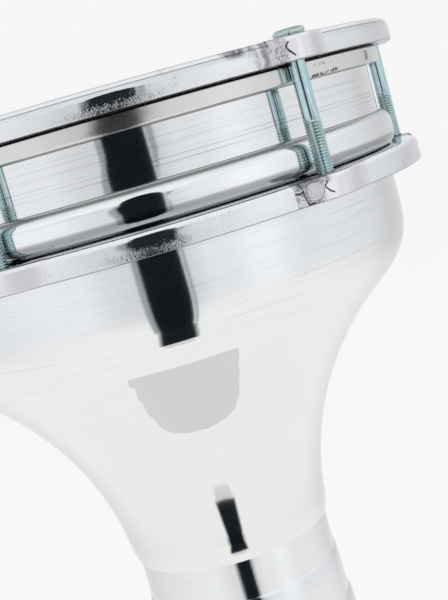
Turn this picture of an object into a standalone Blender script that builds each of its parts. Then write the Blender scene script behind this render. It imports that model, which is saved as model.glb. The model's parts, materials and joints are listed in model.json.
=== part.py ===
"""Aluminium goblet drum with a bolted tension ring, made as separate solids.

All sizes are in millimetres until they reach a mesh, which is in metres.
The drum stands upright on its foot: +Z is the axis, the origin is the middle of the foot's resting face,
and azimuth 0 is the -Y side, growing towards +X.
Depths are measured down from the ring plane, the underside of the top tension ring.
"""
import bpy
import bmesh
from math import cos, hypot, pi, radians, sin, sqrt
from mathutils import Matrix, Vector

MILLIMETRE = 0.001
CLEARANCE = 0.3

# Facets round the drum's axis, and round the small bores and bolts
ROUND_FACETS = 60
SMALL_FACETS = 16

# Overall height, from the floor to the underside of the top tension ring
RING_PLANE = 392.0

# Shell bowl: bearing edge, collar, bead, bowl, shoulder and waist
SHELL_WALL = 3.2
BOWL_RADIUS = 96.2
COLLAR_STEP = 0.5
COLLAR_RADIUS = BOWL_RADIUS + COLLAR_STEP
EDGE_RISE = 5.5
EDGE_ROUND = 2.4
COLLAR_DEPTH = 23.0
BEAD_REACH = 3.7
BEAD_RADIUS = COLLAR_RADIUS + BEAD_REACH
BEAD_CROWN = 4.6
BEAD_HEIGHT = 14.5
BEAD_UNDER_ROUND = 4.0
SHOULDER_DEPTH = 57.0
TURN_INSET = 12.7
TURN_RADIUS = BOWL_RADIUS - TURN_INSET
TURN_DEPTH = 82.0
MOUTH_RADIUS = 38.3
NECK_STEP = 1.5
NECK_RADIUS = MOUTH_RADIUS + NECK_STEP
NECK_DEPTH = 161.0
MOUTH_DEPTH = 166.4

# Foot: spigot inside the shell's neck, three stepped bands, flare and rim
SPIGOT_INSET = 3.1
SPIGOT_RADIUS = MOUTH_RADIUS - SPIGOT_INSET
SPIGOT_LENGTH = 20.0
FOOT_WALL = 2.6
UPPER_BAND_INSET = 0.6
UPPER_BAND_RADIUS = MOUTH_RADIUS - UPPER_BAND_INSET
UPPER_BAND_END = 183.0
MIDDLE_BAND_STEP = 0.9
MIDDLE_BAND_RADIUS = UPPER_BAND_RADIUS + MIDDLE_BAND_STEP
MIDDLE_BAND_START = 189.0
MIDDLE_BAND_END = 200.0
LOWER_BAND_STEP = 1.2
LOWER_BAND_RADIUS = MIDDLE_BAND_RADIUS + LOWER_BAND_STEP
LOWER_BAND_START = 203.5
RIM_RADIUS = 80.0
RIM_WIDTH = 5.6
RIM_HEIGHT = 8.0
RIM_ROUND = 1.5

# Drumhead film and its flesh hoop, which fits round the collar with the film between them
FILM_THICKNESS = 0.3
FILM_SKIRT = 5.0
HOOP_WIDTH = 3.9
HOOP_INNER = COLLAR_RADIUS + CLEARANCE + FILM_THICKNESS + CLEARANCE
HOOP_OUTER = HOOP_INNER + HOOP_WIDTH
HOOP_HEIGHT = 5.9
HOOP_ROUND = 0.8

# Tension bolts, which pass close outside the flesh hoop
BOLT_COUNT = 6
FIRST_BOLT = 30.0
SHANK_RADIUS = 2.68
SHANK_SPACE = 0.32
BOLT_CIRCLE = HOOP_OUTER + SHANK_SPACE + SHANK_RADIUS
THREAD_HEIGHT = 0.27
THREAD_RADIUS = SHANK_RADIUS + THREAD_HEIGHT
THREAD_LENGTH = 24.0
BOLT_LENGTH = 50.0
BOLT_POINT = 0.8
HEAD_ACROSS_FLATS = 10.0
HEAD_CORNER = 46.3
HEAD_STEP = 17.0
HEAD_HEIGHT = 2.3
HEAD_CHAMFER = 0.4

# Tension rings, both turned from the same bar: they clear the collar and cover the bolts
RING_SPACE = 1.0
RING_INNER = COLLAR_RADIUS + RING_SPACE
RING_COVER = 3.0
RING_OUTER = BOLT_CIRCLE + RING_COVER
RING_HEIGHT = 8.0
RING_ROUND = 1.2
SEAT_WIDTH = 1.0

# Lugs set into pockets in the rings
RING_WEB = 2.0
LUG_REACH = 3.5
LUG_EDGE = 0.7
TOP_LUG_HALF = 11.8
LOWER_LUG_HALF = 16.5
HOLE_SPACE = 0.35
BOLT_HOLE_RADIUS = THREAD_RADIUS + HOLE_SPACE

# Round pins that hold the lower lugs to the lower ring
PIN_RADIUS = 3.1
PIN_OFFSET = 10.0

# Finishes: colour, metallic, roughness
CAST_ALUMINIUM = ("cast_aluminium", (0.78, 0.78, 0.77), 1.0, 0.32)
TURNED_FOOT = ("turned_foot", (0.76, 0.77, 0.77), 1.0, 0.30)
POLISHED_BAR = ("polished_bar", (0.80, 0.80, 0.81), 1.0, 0.18)
WELDED_LUG = ("welded_lug", (0.74, 0.74, 0.75), 1.0, 0.28)
HOOP_ALUMINIUM = ("hoop_aluminium", (0.70, 0.69, 0.66), 1.0, 0.38)
ZINC_PLATE = ("zinc_plate", (0.66, 0.74, 0.72), 1.0, 0.25)
PIN_ALUMINIUM = ("pin_aluminium", (0.72, 0.72, 0.74), 1.0, 0.35)
WHITE_FILM = ("white_film", (0.90, 0.90, 0.88), 0.0, 0.35)


def clear_scene():
    """Remove every object, mesh and material that the file came with."""
    for item in list(bpy.data.objects):
        bpy.data.objects.remove(item, do_unlink=True)
    for mesh in list(bpy.data.meshes):
        bpy.data.meshes.remove(mesh)
    for material in list(bpy.data.materials):
        bpy.data.materials.remove(material)


def finish(spec):
    """Make or reuse the Principled material of one finish."""
    name, colour, metallic, roughness = spec
    material = bpy.data.materials.get(name)
    if material is None:
        material = bpy.data.materials.new(name)
        material.use_nodes = True
        shader = material.node_tree.nodes["Principled BSDF"]
        shader.inputs["Base Color"].default_value = (*colour, 1.0)
        shader.inputs["Metallic"].default_value = metallic
        shader.inputs["Roughness"].default_value = roughness
        material.diffuse_color = (*colour, 1.0)
    return material


def arc(centre, radius, start, end, steps):
    """Points (r, z) on an arc from start to end degrees, both ends included."""
    points = []
    for step in range(steps + 1):
        angle = radians(start + (end - start) * step / steps)
        points.append((centre[0] + radius * cos(angle), centre[1] + radius * sin(angle)))
    return points


def bezier(first, second, third, fourth, steps):
    """Points (r, z) on a cubic curve through its first and fourth points."""
    points = []
    for step in range(steps + 1):
        t = step / steps
        weights = ((1 - t) ** 3, 3 * t * (1 - t) ** 2, 3 * t ** 2 * (1 - t), t ** 3)
        corners = (first, second, third, fourth)
        points.append(tuple(sum(w * c[axis] for w, c in zip(weights, corners)) for axis in (0, 1)))
    return points


def offset_inwards(points, wall):
    """Move an outline that runs down the outside of a wall to the wall's inner side."""
    moved = []
    for index, (r, z) in enumerate(points):
        before = points[max(index - 1, 0)]
        after = points[min(index + 1, len(points) - 1)]
        along = (after[0] - before[0], after[1] - before[1])
        length = hypot(*along)
        moved.append((r + wall * along[1] / length, z - wall * along[0] / length))
    return moved


def rounded_box(inner, outer, bottom, top, radius, steps=2):
    """Closed outline of a rectangular section with four rounded corners."""
    return (
        arc((outer - radius, top - radius), radius, 90, 0, steps)
        + arc((outer - radius, bottom + radius), radius, 0, -90, steps)
        + arc((inner + radius, bottom + radius), radius, 270, 180, steps)
        + arc((inner + radius, top - radius), radius, 180, 90, steps)
    )


def add_object(name, mesh, spec, parent=None, origin=(0.0, 0.0, 0.0)):
    """Link one named object, with its finish and smooth shading, at its origin."""
    item = bpy.data.objects.new(name, mesh)
    bpy.context.scene.collection.objects.link(item)
    item.parent = parent
    item.location = Vector(origin) * MILLIMETRE
    mesh.materials.append(finish(spec))
    mesh.shade_smooth()
    mesh.set_sharp_from_angle(angle=radians(32))
    return item


def close_mesh(shape, name):
    """Weld a bmesh, turn its faces out and write it to a new mesh."""
    bmesh.ops.remove_doubles(shape, verts=shape.verts, dist=0.00001)
    bmesh.ops.recalc_face_normals(shape, faces=shape.faces)
    mesh = bpy.data.meshes.new(name)
    shape.to_mesh(mesh)
    shape.free()
    return mesh


def turned_mesh(name, outline, facets=ROUND_FACETS):
    """Spin a closed outline of (r, z) points round the drum's axis."""
    shape = bmesh.new()
    corners = [shape.verts.new((r * MILLIMETRE, 0.0, z * MILLIMETRE)) for r, z in outline]
    edges = []
    for index, corner in enumerate(corners):
        following = corners[(index + 1) % len(corners)]
        if hypot(corner.co.x, following.co.x) > 0.0:
            edges.append(shape.edges.new((corner, following)))
    bmesh.ops.spin(
        shape, geom=corners + edges, cent=(0, 0, 0), axis=(0, 0, 1), angle=2 * pi, steps=facets, use_merge=True
    )
    return close_mesh(shape, name)


def prism_into(shape, outline, bottom, top):
    """Add an upright prism over a flat outline of (x, y) points to a bmesh and return its faces."""
    low = [shape.verts.new((x * MILLIMETRE, y * MILLIMETRE, bottom * MILLIMETRE)) for x, y in outline]
    high = [shape.verts.new((x * MILLIMETRE, y * MILLIMETRE, top * MILLIMETRE)) for x, y in outline]
    count = len(outline)
    faces = [shape.faces.new(low[::-1]), shape.faces.new(high)]
    for index in range(count):
        following = (index + 1) % count
        faces.append(shape.faces.new((low[index], low[following], high[following], high[index])))
    return faces


def circle_points(radius, facets, centre=(0.0, 0.0), turn=0.0):
    """Points round a circle in the XY plane, anticlockwise."""
    return [
        (centre[0] + radius * cos(turn + 2 * pi * k / facets), centre[1] + radius * sin(turn + 2 * pi * k / facets))
        for k in range(facets)
    ]


def bolt_azimuth(index):
    """Azimuth of one bolt in degrees."""
    return FIRST_BOLT + index * 360.0 / BOLT_COUNT


def turned_to(index):
    """Rotation that carries the -Y side to one bolt's azimuth."""
    return Matrix.Rotation(radians(bolt_azimuth(index)), 4, "Z")


def place_round(mesh, index):
    """Turn a mesh modelled on the -Y side to one bolt's azimuth."""
    mesh.transform(turned_to(index))
    return mesh


def hidden_cutter(name, shape):
    """Turn a bmesh into a cutter that is never part of the model."""
    mesh = close_mesh(shape, name)
    item = bpy.data.objects.new(name, mesh)
    bpy.context.scene.collection.objects.link(item)
    item.hide_render = True
    item.display_type = "WIRE"
    return item


def cut(item, cutter):
    """Cut one object with a hidden cutter."""
    modifier = item.modifiers.new("cut_" + cutter.name, "BOOLEAN")
    modifier.operation = "DIFFERENCE"
    modifier.object = cutter


def bead_seat():
    """Value of r - z, measured from the ring plane, along the 45 degree cone under the bead."""
    return BOWL_RADIUS + COLLAR_DEPTH + BEAD_HEIGHT


def lower_ring_top():
    """Depth of the lower ring's top face, where its inner chamfer lies one clearance under the bead."""
    return bead_seat() + CLEARANCE * sqrt(2) - RING_INNER - SEAT_WIDTH


def level(depth):
    """Height above the floor of a depth below the ring plane."""
    return RING_PLANE - depth


def at_level(points):
    """Change (r, depth) points into (r, height) points."""
    return [(r, level(depth)) for r, depth in points]


def shell_outline():
    """Closed outline of the bowl, from the bearing edge down the outside and back up the inside."""
    edge_height = level(-EDGE_RISE)
    inner = COLLAR_RADIUS - SHELL_WALL
    bead_top = level(COLLAR_DEPTH)
    crown_centre = bead_top - BEAD_CROWN
    crown = [
        (COLLAR_RADIUS + (BEAD_RADIUS - COLLAR_RADIUS) * sin(radians(a)), crown_centre + BEAD_CROWN * cos(radians(a)))
        for a in (0, 30, 60, 90)
    ]
    under_end = BEAD_RADIUS - BEAD_UNDER_ROUND * (1 - cos(pi / 4))
    under_depth = bead_seat() - under_end
    under_centre = level(under_depth) + BEAD_UNDER_ROUND * sin(pi / 4)
    under = arc((BEAD_RADIUS - BEAD_UNDER_ROUND, under_centre), BEAD_UNDER_ROUND, 0, -45, 2)
    shoulder = at_level(
        bezier(
            (BOWL_RADIUS, SHOULDER_DEPTH),
            (BOWL_RADIUS, SHOULDER_DEPTH + 0.52 * (TURN_DEPTH - SHOULDER_DEPTH)),
            (TURN_RADIUS + 0.63 * (BOWL_RADIUS - TURN_RADIUS), TURN_DEPTH - 0.26 * (TURN_DEPTH - SHOULDER_DEPTH)),
            (TURN_RADIUS, TURN_DEPTH),
            5,
        )
    )
    cone = at_level(
        bezier(
            (TURN_RADIUS, TURN_DEPTH),
            (TURN_RADIUS - 0.446 * (TURN_RADIUS - NECK_RADIUS), TURN_DEPTH + 0.19 * (NECK_DEPTH - TURN_DEPTH)),
            (NECK_RADIUS + 0.073 * (TURN_RADIUS - NECK_RADIUS), NECK_DEPTH - 0.468 * (NECK_DEPTH - TURN_DEPTH)),
            (NECK_RADIUS, NECK_DEPTH),
            8,
        )
    )
    edge = arc((COLLAR_RADIUS - EDGE_ROUND, edge_height - EDGE_ROUND), EDGE_ROUND, 90, 0, 3)
    outside = edge + crown + under + [(BOWL_RADIUS, level(COLLAR_DEPTH + BEAD_HEIGHT))]
    outside += shoulder + cone[1:] + [(MOUTH_RADIUS, level(MOUTH_DEPTH))]
    bore = SPIGOT_RADIUS + CLEARANCE
    bore_top = level(MOUTH_DEPTH) + SPIGOT_LENGTH + CLEARANCE
    shoulder_inside = offset_inwards(shoulder[::2] + cone[1::2], SHELL_WALL)
    inside = [point for point in shoulder_inside if point[0] > bore + 1.0 and point[1] > bore_top + 2.0]
    inside += [(bore, bore_top), (bore, level(MOUTH_DEPTH))]
    inside = [(inner, edge_height - EDGE_ROUND)] + inside
    return outside + inside[::-1]


def make_shell_bowl():
    """Bowl with its collar and bead, one casting turned on a lathe."""
    return add_object("shell_bowl", turned_mesh("shell_bowl", shell_outline()), CAST_ALUMINIUM)


def make_foot():
    """Stepped and flared foot whose spigot sits in the bowl's neck."""
    seat = MOUTH_DEPTH + CLEARANCE
    rim_inner = RIM_RADIUS - RIM_WIDTH
    rim_top = RIM_HEIGHT
    bands = at_level(
        [
            (UPPER_BAND_RADIUS, seat),
            (UPPER_BAND_RADIUS, UPPER_BAND_END),
            (MIDDLE_BAND_RADIUS, MIDDLE_BAND_START),
            (MIDDLE_BAND_RADIUS, MIDDLE_BAND_END),
        ]
    )
    drop = RING_PLANE - LOWER_BAND_START - rim_top
    spread = rim_inner - LOWER_BAND_RADIUS
    flare = bezier(
        (LOWER_BAND_RADIUS, level(LOWER_BAND_START)),
        (LOWER_BAND_RADIUS + 0.05 * spread, level(LOWER_BAND_START) - 0.4 * drop),
        (LOWER_BAND_RADIUS + 0.35 * spread, level(LOWER_BAND_START) - 0.78 * drop),
        (rim_inner, rim_top),
        8,
    )
    rim = rounded_box(rim_inner, RIM_RADIUS, 0.0, rim_top, RIM_ROUND)[:6]
    outside = [(SPIGOT_RADIUS, level(seat) + SPIGOT_LENGTH), (SPIGOT_RADIUS, level(seat))] + bands + flare + rim
    inside_flare = offset_inwards(flare[::2], FOOT_WALL)[:-1]
    bore = SPIGOT_RADIUS - FOOT_WALL
    inside = [(bore, level(seat) + SPIGOT_LENGTH), (bore, level(UPPER_BAND_END))]
    inside += [(LOWER_BAND_RADIUS - FOOT_WALL - 0.4, level(LOWER_BAND_START) + 0.4)] + inside_flare[1:]
    inside += [(rim_inner - FOOT_WALL * 0.4, rim_top * 0.5), (rim_inner, 0.0)]
    return add_object("foot", turned_mesh("foot", outside + inside[::-1]), TURNED_FOOT)


def make_head_film():
    """Stretched film over the bearing edge, its skirt running down into the flesh hoop."""
    under = level(-EDGE_RISE) + CLEARANCE
    side = COLLAR_RADIUS + CLEARANCE
    bend = EDGE_ROUND + CLEARANCE
    low = level(FILM_SKIRT)
    centre = (side - bend, under - bend)
    outer = [(0.0, under + FILM_THICKNESS)] + arc(centre, bend + FILM_THICKNESS, 90, 0, 3)
    inner = [(0.0, under)] + arc(centre, bend, 90, 0, 3)
    outline = outer + [(side + FILM_THICKNESS, low), (side, low)] + inner[::-1]
    return add_object("head_film", turned_mesh("head_film", outline), WHITE_FILM)


def make_flesh_hoop(parent):
    """Aluminium hoop of the drumhead, under the top ring."""
    top = level(CLEARANCE)
    outline = rounded_box(HOOP_INNER, HOOP_OUTER, top - HOOP_HEIGHT, top, HOOP_ROUND, 1)
    return add_object("flesh_hoop", turned_mesh("flesh_hoop", outline), HOOP_ALUMINIUM, parent)


def pocket_cutter(name, half_width, bottom, top):
    """Boxes that cut a pocket for each lug into a ring's outer side."""
    shape = bmesh.new()
    half = half_width + CLEARANCE
    floor = RING_INNER + RING_WEB
    far = RING_OUTER + LUG_REACH
    for index in range(BOLT_COUNT):
        outline = [(-half, -far), (half, -far), (half, -floor), (-half, -floor)]
        faces = prism_into(shape, outline, bottom - 1.0, top + 1.0)
        corners = {corner for face in faces for corner in face.verts}
        bmesh.ops.transform(shape, matrix=turned_to(index), verts=list(corners))
    return hidden_cutter(name, shape)


def radial_bar_mesh(name, radius, near, far, height, index, facets=SMALL_FACETS):
    """Round bar along the lug's outward direction, at the pin's offset beside the bolt."""
    shape = bmesh.new()
    prism_into(shape, circle_points(radius, facets, turn=pi / facets), near, far)
    mesh = close_mesh(shape, name)
    mesh.transform(Matrix.Rotation(pi / 2, 4, "X"))
    mesh.transform(Matrix.Translation(Vector((-PIN_OFFSET, 0.0, height)) * MILLIMETRE))
    return place_round(mesh, index)


def pin_hole_cutter(name, height):
    """Round bars that cut the pin holes through the lower ring's web."""
    shape = bmesh.new()
    for index in range(BOLT_COUNT):
        mesh = radial_bar_mesh(
            name + "_bar", PIN_RADIUS + CLEARANCE, RING_INNER - 5.0, RING_OUTER + LUG_REACH + 5.0, height, index
        )
        shape.from_mesh(mesh)
        bpy.data.meshes.remove(mesh)
    return hidden_cutter(name, shape)


def make_top_ring(parent):
    """Ring of ground bar that presses on the flesh hoop."""
    bottom = level(0.0)
    top = bottom + RING_HEIGHT
    outline = rounded_box(RING_INNER, RING_OUTER, bottom, top, RING_ROUND)
    ring = add_object("top_ring", turned_mesh("top_ring", outline), POLISHED_BAR, parent)
    cut(ring, pocket_cutter("top_pockets", TOP_LUG_HALF, bottom, top))
    return ring


def make_lower_ring():
    """Ring of the same bar that pulls up against the bead's underside."""
    top = level(lower_ring_top())
    bottom = top - RING_HEIGHT
    corners = rounded_box(RING_INNER, RING_OUTER, bottom, top, RING_ROUND)
    outline = corners[:9] + [(RING_INNER, top - SEAT_WIDTH), (RING_INNER + SEAT_WIDTH, top)]
    ring = add_object("lower_ring", turned_mesh("lower_ring", outline), POLISHED_BAR)
    cut(ring, pocket_cutter("lower_pockets", LOWER_LUG_HALF, bottom, top))
    cut(ring, pin_hole_cutter("ring_pin_holes", (top + bottom) / 2))
    return ring


def lug_points(half_width):
    """Outline of a lug: a straight back, and a front that swells out of the ring and eases back into it."""
    back = RING_INNER + RING_WEB + CLEARANCE
    steps = 12
    points = [(half_width, -back), (-half_width, -back)]
    for step in range(steps + 1):
        x = half_width * (2 * step / steps - 1)
        swell = LUG_REACH * 0.5 * (1 + cos(pi * x / half_width))
        points.append((x, -(sqrt(RING_OUTER ** 2 - x ** 2) + swell)))
    return points[::-1]


def make_lug(name, half_width, bottom, index, parent=None):
    """Lug block with softened edges and a bolt hole."""
    top = bottom + RING_HEIGHT
    shape = bmesh.new()
    prism_into(shape, lug_points(half_width), bottom, top)
    bmesh.ops.recalc_face_normals(shape, faces=shape.faces)
    front = -sqrt(RING_OUTER ** 2 - half_width ** 2) * MILLIMETRE
    level_edges = [
        edge
        for edge in shape.edges
        if abs(edge.verts[0].co.z - edge.verts[1].co.z) < 1e-7
        and max(edge.verts[0].co.y, edge.verts[1].co.y) < front + 1e-6
    ]
    bmesh.ops.bevel(shape, geom=level_edges, offset=LUG_EDGE * MILLIMETRE, segments=1, affect="EDGES")
    mesh = place_round(close_mesh(shape, name), index)
    lug = add_object(name, mesh, WELDED_LUG, parent)
    hole = bmesh.new()
    prism_into(hole, circle_points(BOLT_HOLE_RADIUS, SMALL_FACETS, (0.0, -BOLT_CIRCLE)), bottom - 1.0, top + 1.0)
    bmesh.ops.transform(hole, matrix=turned_to(index), verts=hole.verts)
    cut(lug, hidden_cutter(name + "_bolt_hole", hole))
    return lug


def make_lower_lug(index):
    """Lower lug, which also takes a round pin beside its bolt."""
    bottom = level(lower_ring_top()) - RING_HEIGHT
    name = f"lower_lug_{index + 1}"
    lug = make_lug(name, LOWER_LUG_HALF, bottom, index)
    bar = bmesh.new()
    mesh = radial_bar_mesh(
        name + "_bar", PIN_RADIUS + CLEARANCE, RING_INNER, RING_OUTER + 2 * LUG_REACH, bottom + RING_HEIGHT / 2, index
    )
    bar.from_mesh(mesh)
    bpy.data.meshes.remove(mesh)
    cut(lug, hidden_cutter(name + "_pin_hole", bar))
    return lug


def make_pin(index):
    """Pin through a lower lug into the ring, its end ground flush with the lug's front."""
    height = level(lower_ring_top()) - RING_HEIGHT / 2
    swell = LUG_REACH * 0.5 * (1 + cos(pi * PIN_OFFSET / LOWER_LUG_HALF))
    front = sqrt(RING_OUTER ** 2 - PIN_OFFSET ** 2) + swell
    name = f"lug_pin_{index + 1}"
    mesh = radial_bar_mesh(name, PIN_RADIUS, RING_INNER + CLEARANCE, front, height, index)
    return add_object(name, mesh, PIN_ALUMINIUM)


def make_bolt(index, parent):
    """Hexagon bolt whose origin is on its own axis, under its head; each head stopped at its own angle."""
    azimuth = radians(bolt_azimuth(index))
    seat = level(0.0) + RING_HEIGHT + CLEARANCE
    origin = (BOLT_CIRCLE * sin(azimuth), -BOLT_CIRCLE * cos(azimuth), seat)
    shape = bmesh.new()
    head_radius = HEAD_ACROSS_FLATS / 2 / cos(pi / 6)
    corner = radians(HEAD_CORNER + index * HEAD_STEP - 90.0)
    faces = prism_into(shape, circle_points(head_radius, 6, turn=corner), 0.0, HEAD_HEIGHT)
    top_edges = list(faces[1].edges)
    bmesh.ops.bevel(shape, geom=top_edges, offset=HEAD_CHAMFER * MILLIMETRE, segments=1, affect="EDGES")
    name = f"bolt_{index + 1}"
    mesh = close_mesh(shape, name)
    head = add_object(name, mesh, ZINC_PLATE, parent, origin)
    thread_top = THREAD_LENGTH - BOLT_LENGTH
    outline = [
        (0.0, 1.0),
        (SHANK_RADIUS, 1.0),
        (SHANK_RADIUS, thread_top),
        (THREAD_RADIUS, thread_top - THREAD_HEIGHT),
        (THREAD_RADIUS, BOLT_POINT - BOLT_LENGTH),
        (THREAD_RADIUS - BOLT_POINT, -BOLT_LENGTH),
        (0.0, -BOLT_LENGTH),
    ]
    shank = turned_mesh(name + "_shank", outline, SMALL_FACETS)
    stem = bpy.data.objects.new(name + "_shank", shank)
    bpy.context.scene.collection.objects.link(stem)
    stem.parent = parent
    stem.location = head.location
    stem.hide_render = True
    stem.display_type = "WIRE"
    join = head.modifiers.new("join_shank", "BOOLEAN")
    join.operation = "UNION"
    join.object = stem
    return head


def main():
    """Build the drum."""
    clear_scene()
    tension = bpy.data.objects.new("tension_assembly", None)
    bpy.context.scene.collection.objects.link(tension)
    make_shell_bowl()
    make_foot()
    make_head_film()
    make_flesh_hoop(tension)
    make_top_ring(tension)
    make_lower_ring()
    for index in range(BOLT_COUNT):
        make_lug(f"top_lug_{index + 1}", TOP_LUG_HALF, level(0.0), index, tension)
        make_lower_lug(index)
        make_pin(index)
        make_bolt(index, tension)


main()
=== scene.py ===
"""Looks of a cast aluminium goblet drum with bolted tension rings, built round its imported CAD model.

Every length in the classes is in millimetres, and turns into metres where a mesh is made. The drum stands
upright, +Z is its axis, azimuth 0 is the -Y side and grows towards +X, and a depth is measured down from
the underside of the top tension ring.
"""
import json
import logging
from dataclasses import dataclass
from enum import Enum
from math import cos, hypot, pi, radians, sin, sqrt, tan
from typing import Sequence, Union

import bmesh
import bpy
from mathutils import Matrix, Vector

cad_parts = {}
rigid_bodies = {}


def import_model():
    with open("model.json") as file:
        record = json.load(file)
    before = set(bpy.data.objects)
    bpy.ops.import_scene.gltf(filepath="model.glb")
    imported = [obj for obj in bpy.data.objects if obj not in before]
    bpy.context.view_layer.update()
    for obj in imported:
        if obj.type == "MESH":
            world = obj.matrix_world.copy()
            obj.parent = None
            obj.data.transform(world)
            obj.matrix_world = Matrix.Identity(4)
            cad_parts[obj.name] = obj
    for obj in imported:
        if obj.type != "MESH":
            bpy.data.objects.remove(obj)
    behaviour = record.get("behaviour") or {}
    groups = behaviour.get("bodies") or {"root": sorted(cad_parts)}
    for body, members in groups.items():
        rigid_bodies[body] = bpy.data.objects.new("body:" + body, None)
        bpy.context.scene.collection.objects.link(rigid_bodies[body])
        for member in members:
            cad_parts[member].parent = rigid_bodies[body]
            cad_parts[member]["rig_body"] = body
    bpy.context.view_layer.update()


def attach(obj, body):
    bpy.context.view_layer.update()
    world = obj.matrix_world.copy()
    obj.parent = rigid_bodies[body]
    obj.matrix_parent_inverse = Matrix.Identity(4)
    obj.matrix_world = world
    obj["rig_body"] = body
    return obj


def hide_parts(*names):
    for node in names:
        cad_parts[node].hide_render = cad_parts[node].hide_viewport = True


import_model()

LOG = logging.getLogger("goblet_drum")
MILLIMETRE = 0.001
OUTER_CORNER_STEPS = 6
INNER_CORNER_STEPS = 4
TURNED_FACETS = 288
SHARP_ANGLE = 34.0
WELD_DISTANCE = 0.000002
LEAST_ROUGHNESS = 0.03
Point = tuple[float, float]
Colour = tuple[float, float, float]
Settings = Union[dict[str, object], None]
Inputs = Union[dict[Union[str, int], object], None]


# Shader maths


class Nodes:
    """One node tree, whose nodes all come from one method."""

    def __init__(self, tree: bpy.types.NodeTree) -> None:
        """Keep the tree.

        Args:
            tree: The node tree of a material or of the world.
        """
        self.tree = tree

    def node(self, kind: str, settings: Settings = None, inputs: Inputs = None) -> bpy.types.Node:
        """Add one node.

        Args:
            kind: The node's type.
            settings: The node's own settings, which are set first. A ramp takes its stops as "stops".
            inputs: The values or links of its sockets, by name or index.

        Returns:
            The new node.
        """
        made = self.tree.nodes.new(kind)
        for name, value in (settings or {}).items():
            if name == "stops":
                self.set_stops(made.color_ramp, value)
            else:
                setattr(made, name, value)
        for name, value in (inputs or {}).items():
            self.feed(made.inputs[name], value)
        return made

    def feed(self, socket: bpy.types.NodeSocket, value: object) -> None:
        """Link a wrapped value or an output to a socket, or set the socket's own value.

        Args:
            socket: The input to feed.
            value: A Value, an output socket, a number or a tuple.
        """
        if isinstance(value, Value):
            self.tree.links.new(value.socket, socket)
        elif isinstance(value, bpy.types.NodeSocket):
            self.tree.links.new(value, socket)
        elif isinstance(value, tuple) and len(value) == 3 and socket.type == "RGBA":
            socket.default_value = (*value, 1.0)
        else:
            socket.default_value = value

    @staticmethod
    def set_stops(ramp: bpy.types.ColorRamp, stops: Sequence[tuple[float, Colour]]) -> None:
        """Give a colour ramp its stops.

        Args:
            ramp: The ramp to set.
            stops: Each stop's position and colour, from left to right.
        """
        while len(ramp.elements) < len(stops):
            ramp.elements.new(1.0)
        for element, (position, colour) in zip(ramp.elements, stops):
            element.position = position
            element.color = (*colour, 1.0)

    def mix(self, share: "Number", first: object, second: object) -> bpy.types.NodeSocket:
        """Blend two colours.

        Args:
            share: How much of the second there is.
            first: A colour or a colour output.
            second: A colour or a colour output.

        Returns:
            The blended colour.
        """
        made = self.node("ShaderNodeMix", {"data_type": "RGBA"}, {"Factor": share, 6: first, 7: second})
        return made.outputs[2]


class Value:
    """A number that varies over a surface, with the usual operators."""

    def __init__(self, nodes: Nodes, socket: bpy.types.NodeSocket) -> None:
        """Wrap one output socket.

        Args:
            nodes: The node tree that the socket belongs to.
            socket: The output to wrap.
        """
        self.nodes = nodes
        self.socket = socket

    def math(self, operation: str, *others: "Number", clamp: bool = False) -> "Value":
        """Add one Math node whose first value is this one.

        Args:
            operation: The Math node's operation.
            others: The values after this one.
            clamp: Whether the result is held between 0 and 1.

        Returns:
            The node's result.
        """
        settings = {"operation": operation, "use_clamp": clamp}
        made = self.nodes.node("ShaderNodeMath", settings, dict(enumerate((self, *others))))
        return Value(self.nodes, made.outputs[0])

    def __add__(self, other: "Number") -> "Value":
        """Return this plus other."""
        return self.math("ADD", other)

    def __radd__(self, other: float) -> "Value":
        """Return other plus this."""
        return self.math("ADD", other)

    def __sub__(self, other: "Number") -> "Value":
        """Return this minus other."""
        return self.math("SUBTRACT", other)

    def __rsub__(self, other: float) -> "Value":
        """Return other minus this."""
        made = self.nodes.node("ShaderNodeMath", {"operation": "SUBTRACT"}, {0: other, 1: self})
        return Value(self.nodes, made.outputs[0])

    def __mul__(self, other: "Number") -> "Value":
        """Return this times other."""
        return self.math("MULTIPLY", other)

    def __truediv__(self, other: "Number") -> "Value":
        """Return this over other."""
        return self.math("DIVIDE", other)

    def __pow__(self, other: "Number") -> "Value":
        """Return this to the power of other."""
        return self.math("POWER", other)

    def __neg__(self) -> "Value":
        """Return this with its sign changed."""
        return self.math("MULTIPLY", -1.0)

    def __abs__(self) -> "Value":
        """Return this without its sign."""
        return self.math("ABSOLUTE")

    def least(self, other: "Number") -> "Value":
        """Return the smaller of this and other."""
        return self.math("MINIMUM", other)

    def most(self, other: "Number") -> "Value":
        """Return the larger of this and other."""
        return self.math("MAXIMUM", other)

    def ramp(self, low: float, high: float) -> "Value":
        """Rise smoothly from 0 at low to 1 at high.

        Args:
            low: Where the result is 0. It may be above high, and the result then falls.
            high: Where the result is 1.

        Returns:
            The eased value.
        """
        rising = low < high
        made = self.nodes.node(
            "ShaderNodeMapRange",
            {"interpolation_type": "SMOOTHSTEP"},
            {
                "Value": self,
                "From Min": min(low, high),
                "From Max": max(low, high),
                "To Min": 0.0 if rising else 1.0,
                "To Max": 1.0 if rising else 0.0,
            },
        )
        return Value(self.nodes, made.outputs["Result"])

    def band(self, low: float, high: float, edge: float) -> "Value":
        """Be 1 between low and high and 0 outside, with soft edges.

        Args:
            low: The band's lower end.
            high: The band's upper end.
            edge: How wide each soft edge is.

        Returns:
            The band's mask.
        """
        return self.ramp(low - edge, low + edge) * self.ramp(high + edge, high - edge)


Number = Union[Value, float]


@dataclass(frozen=True)
class HeightBand:
    """A band that runs round the drum at one height, in millimetres: painted shade where two forms meet, a painted
    highlight or a darker turning mark.
    """

    level: float
    above: float
    below: float
    depth: float

    def mask(self, height: Value) -> Value:
        """Return how strong the band is, from 0 to its depth.

        Args:
            height: The height over the floor.

        Returns:
            The band, strongest at its level and fading over its two reaches.
        """
        top = height.ramp(self.level + self.above, self.level)
        return top * height.ramp(self.level - self.below, self.level) * self.depth


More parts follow.
